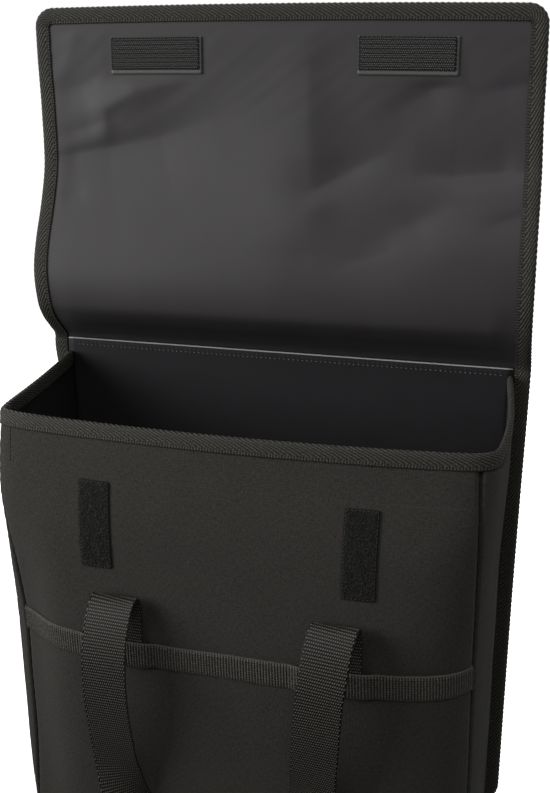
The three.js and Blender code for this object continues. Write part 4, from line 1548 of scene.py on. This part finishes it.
for label, side in SIDES.items():
    add_loop_patch(side, label)
    add_hook_patch(side, label)

# %% [markdown]
# Stitches
#
# Sewing thread holds every tape, band and patch. A stitch is a flattened bead, longer than it is wide,
# and its rows follow the same surface functions as the pieces that they hold. The rows beside the
# field of hooks are zigzag stitches, so every second one turns the other way.

# %% Models and rows of stitches
STITCH_FLATNESS = 0.8  # height of a stitch, as a share of its width
TAPE_STITCH = dict(pitch=3.6, inset=8.2, lift=0.8, length=2.4, width=0.55)


def bead_model():
    shape = bmesh.new()
    bmesh.ops.create_icosphere(shape, subdivisions=1, radius=0.5)
    return take_model(shape)


BEAD = bead_model()


def stitch(point, along, across, out, length, width):
    return point, along * length, across * width, out * width * STITCH_FLATNESS


def stitch_row(surface, start, end, pitch, lift, length, zigzag=0.0, width=0.6):
    """Stitches on a straight line between two places of a surface."""
    start, end = Vector(start), Vector(end)
    run = end - start
    count = round(run.length / pitch)
    lie = math.atan2(run.y, run.x)
    stitches = []
    for i in range(count):
        spot = start + run * ((i + 0.5) / count)
        turn = lie + (zigzag if i % 2 else -zigzag)
        stitches.append(stitch(*frame_on(surface, spot.x, spot.y, turn, lift), length, width))
    return stitches


def stitch_frame(surface, low, high, **settings):
    """Rows on the four sides of a rectangle of a surface."""
    corners = [low, (high[0], low[1]), high, (low[0], high[1]), low]
    rows = [stitch_row(surface, *pair, **settings) for pair in zip(corners, corners[1:])]
    return sum(rows, [])


def tape_stitches(edge, half_cloth, length):
    """A row near each lip of a folded tape."""
    stitches = []
    count = round(length / TAPE_STITCH["pitch"])
    for i in range(count):
        point, along, out, inward = edge_frame(edge, (i + 0.5) / count)
        for face in (out, -out):
            place = point + inward * TAPE_STITCH["inset"] + face * (half_cloth + TAPE_STITCH["lift"])
            stitches.append(stitch(place, along, inward, face, TAPE_STITCH["length"], TAPE_STITCH["width"]))
    return stitches


def on_liner(x, height, distance):
    return Vector((x, LINER_Y + LINER_SEAT - distance, height))


print("stitch of", len(BEAD[1]), "faces")

# %% Stitches on the tapes, the liner and the front
HINGE_ROW, SUNK_ROW = HINGE - 5.6, HINGE - 3.4  # heights of the light row and of the sunk dark one
HINGE_REACH = LINER_HALF_WIDTH - 4
HEM = 318  # height of the row below the mouth tape
HEM_END = seam_at(1, HEM) - 6
CORNER_STITCH = -169  # a short upright row near the left corner ends here
CORNER_START = (CORNER_STITCH - 2, FRONT_TOP - 8)


def add_stitches():
    spine_length = float(PATH_STEPS.sum())
    mouth_length = side_end(1, BACK_TOP) + side_end(-1, BACK_TOP)
    edge = tape_stitches(spine_edge, SPINE / 2, spine_length)
    scatter("stitches_edge", BEAD, edge, dark_thread)
    mouth = tape_stitches(mouth_edge, CLOTH / 2, mouth_length)
    scatter("stitches_mouth", BEAD, mouth, dark_thread)
    ends = [(-HINGE_REACH, HINGE_ROW), (HINGE_REACH, HINGE_ROW)]
    hinge = stitch_row(on_liner, *ends, pitch=3.7, lift=0.15, length=1.6, width=0.9)
    scatter("stitches_hinge", BEAD, hinge, grey_thread)
    ends = [(-HINGE_REACH, SUNK_ROW), (HINGE_REACH, SUNK_ROW)]
    sunk = stitch_row(on_liner, *ends, pitch=3.7, lift=0.05, length=2.6, width=0.7)
    scatter("stitches_hinge_dark", BEAD, sunk, dark_thread)
    ends = [(CORNER_STITCH, HEM), (HEM_END, HEM)]
    hem = stitch_row(on_body, *ends, pitch=3.4, lift=0.0, length=2.2, width=0.4)
    scatter("stitches_hem", BEAD, hem, hem_thread)
    ends = [CORNER_START, (CORNER_STITCH, HEM)]
    corner = stitch_row(on_body, *ends, pitch=2.8, lift=0.05, length=3.2, width=1.1)
    scatter("stitches_corner", BEAD, corner, black_thread)


add_stitches()

# %% Stitches round the patches
LOOP_INSET = 1  # from the edge of a loop patch to its stitches
ZIGZAG = math.radians(35)


def add_patch_stitches(side, label):
    low = (-LOOP_WIDTH / 2 + LOOP_INSET, LOOP_LOW + LOOP_INSET)
    high = (LOOP_WIDTH / 2 - LOOP_INSET, LOOP_LOW + LOOP_HEIGHT - LOOP_INSET)
    on_loop = partial(on_loop_patch, side)
    seam = stitch_frame(on_loop, low, high, pitch=2.6, lift=0.15, length=1.9)
    scatter(f"stitches_loop_{label}", BEAD, seam, hem_thread)
    on_tape = partial(on_hook_tape, side)
    lift = HOOK_BASE + 0.3
    border = stitch_frame(
        on_tape, HOOK_FIELD_LOW, HOOK_FIELD_HIGH, pitch=1.5, lift=lift, length=2.0, zigzag=ZIGZAG
    )
    scatter(f"stitches_hook_{label}", BEAD, border, black_thread)


for label, side in SIDES.items():
    add_patch_stitches(side, label)
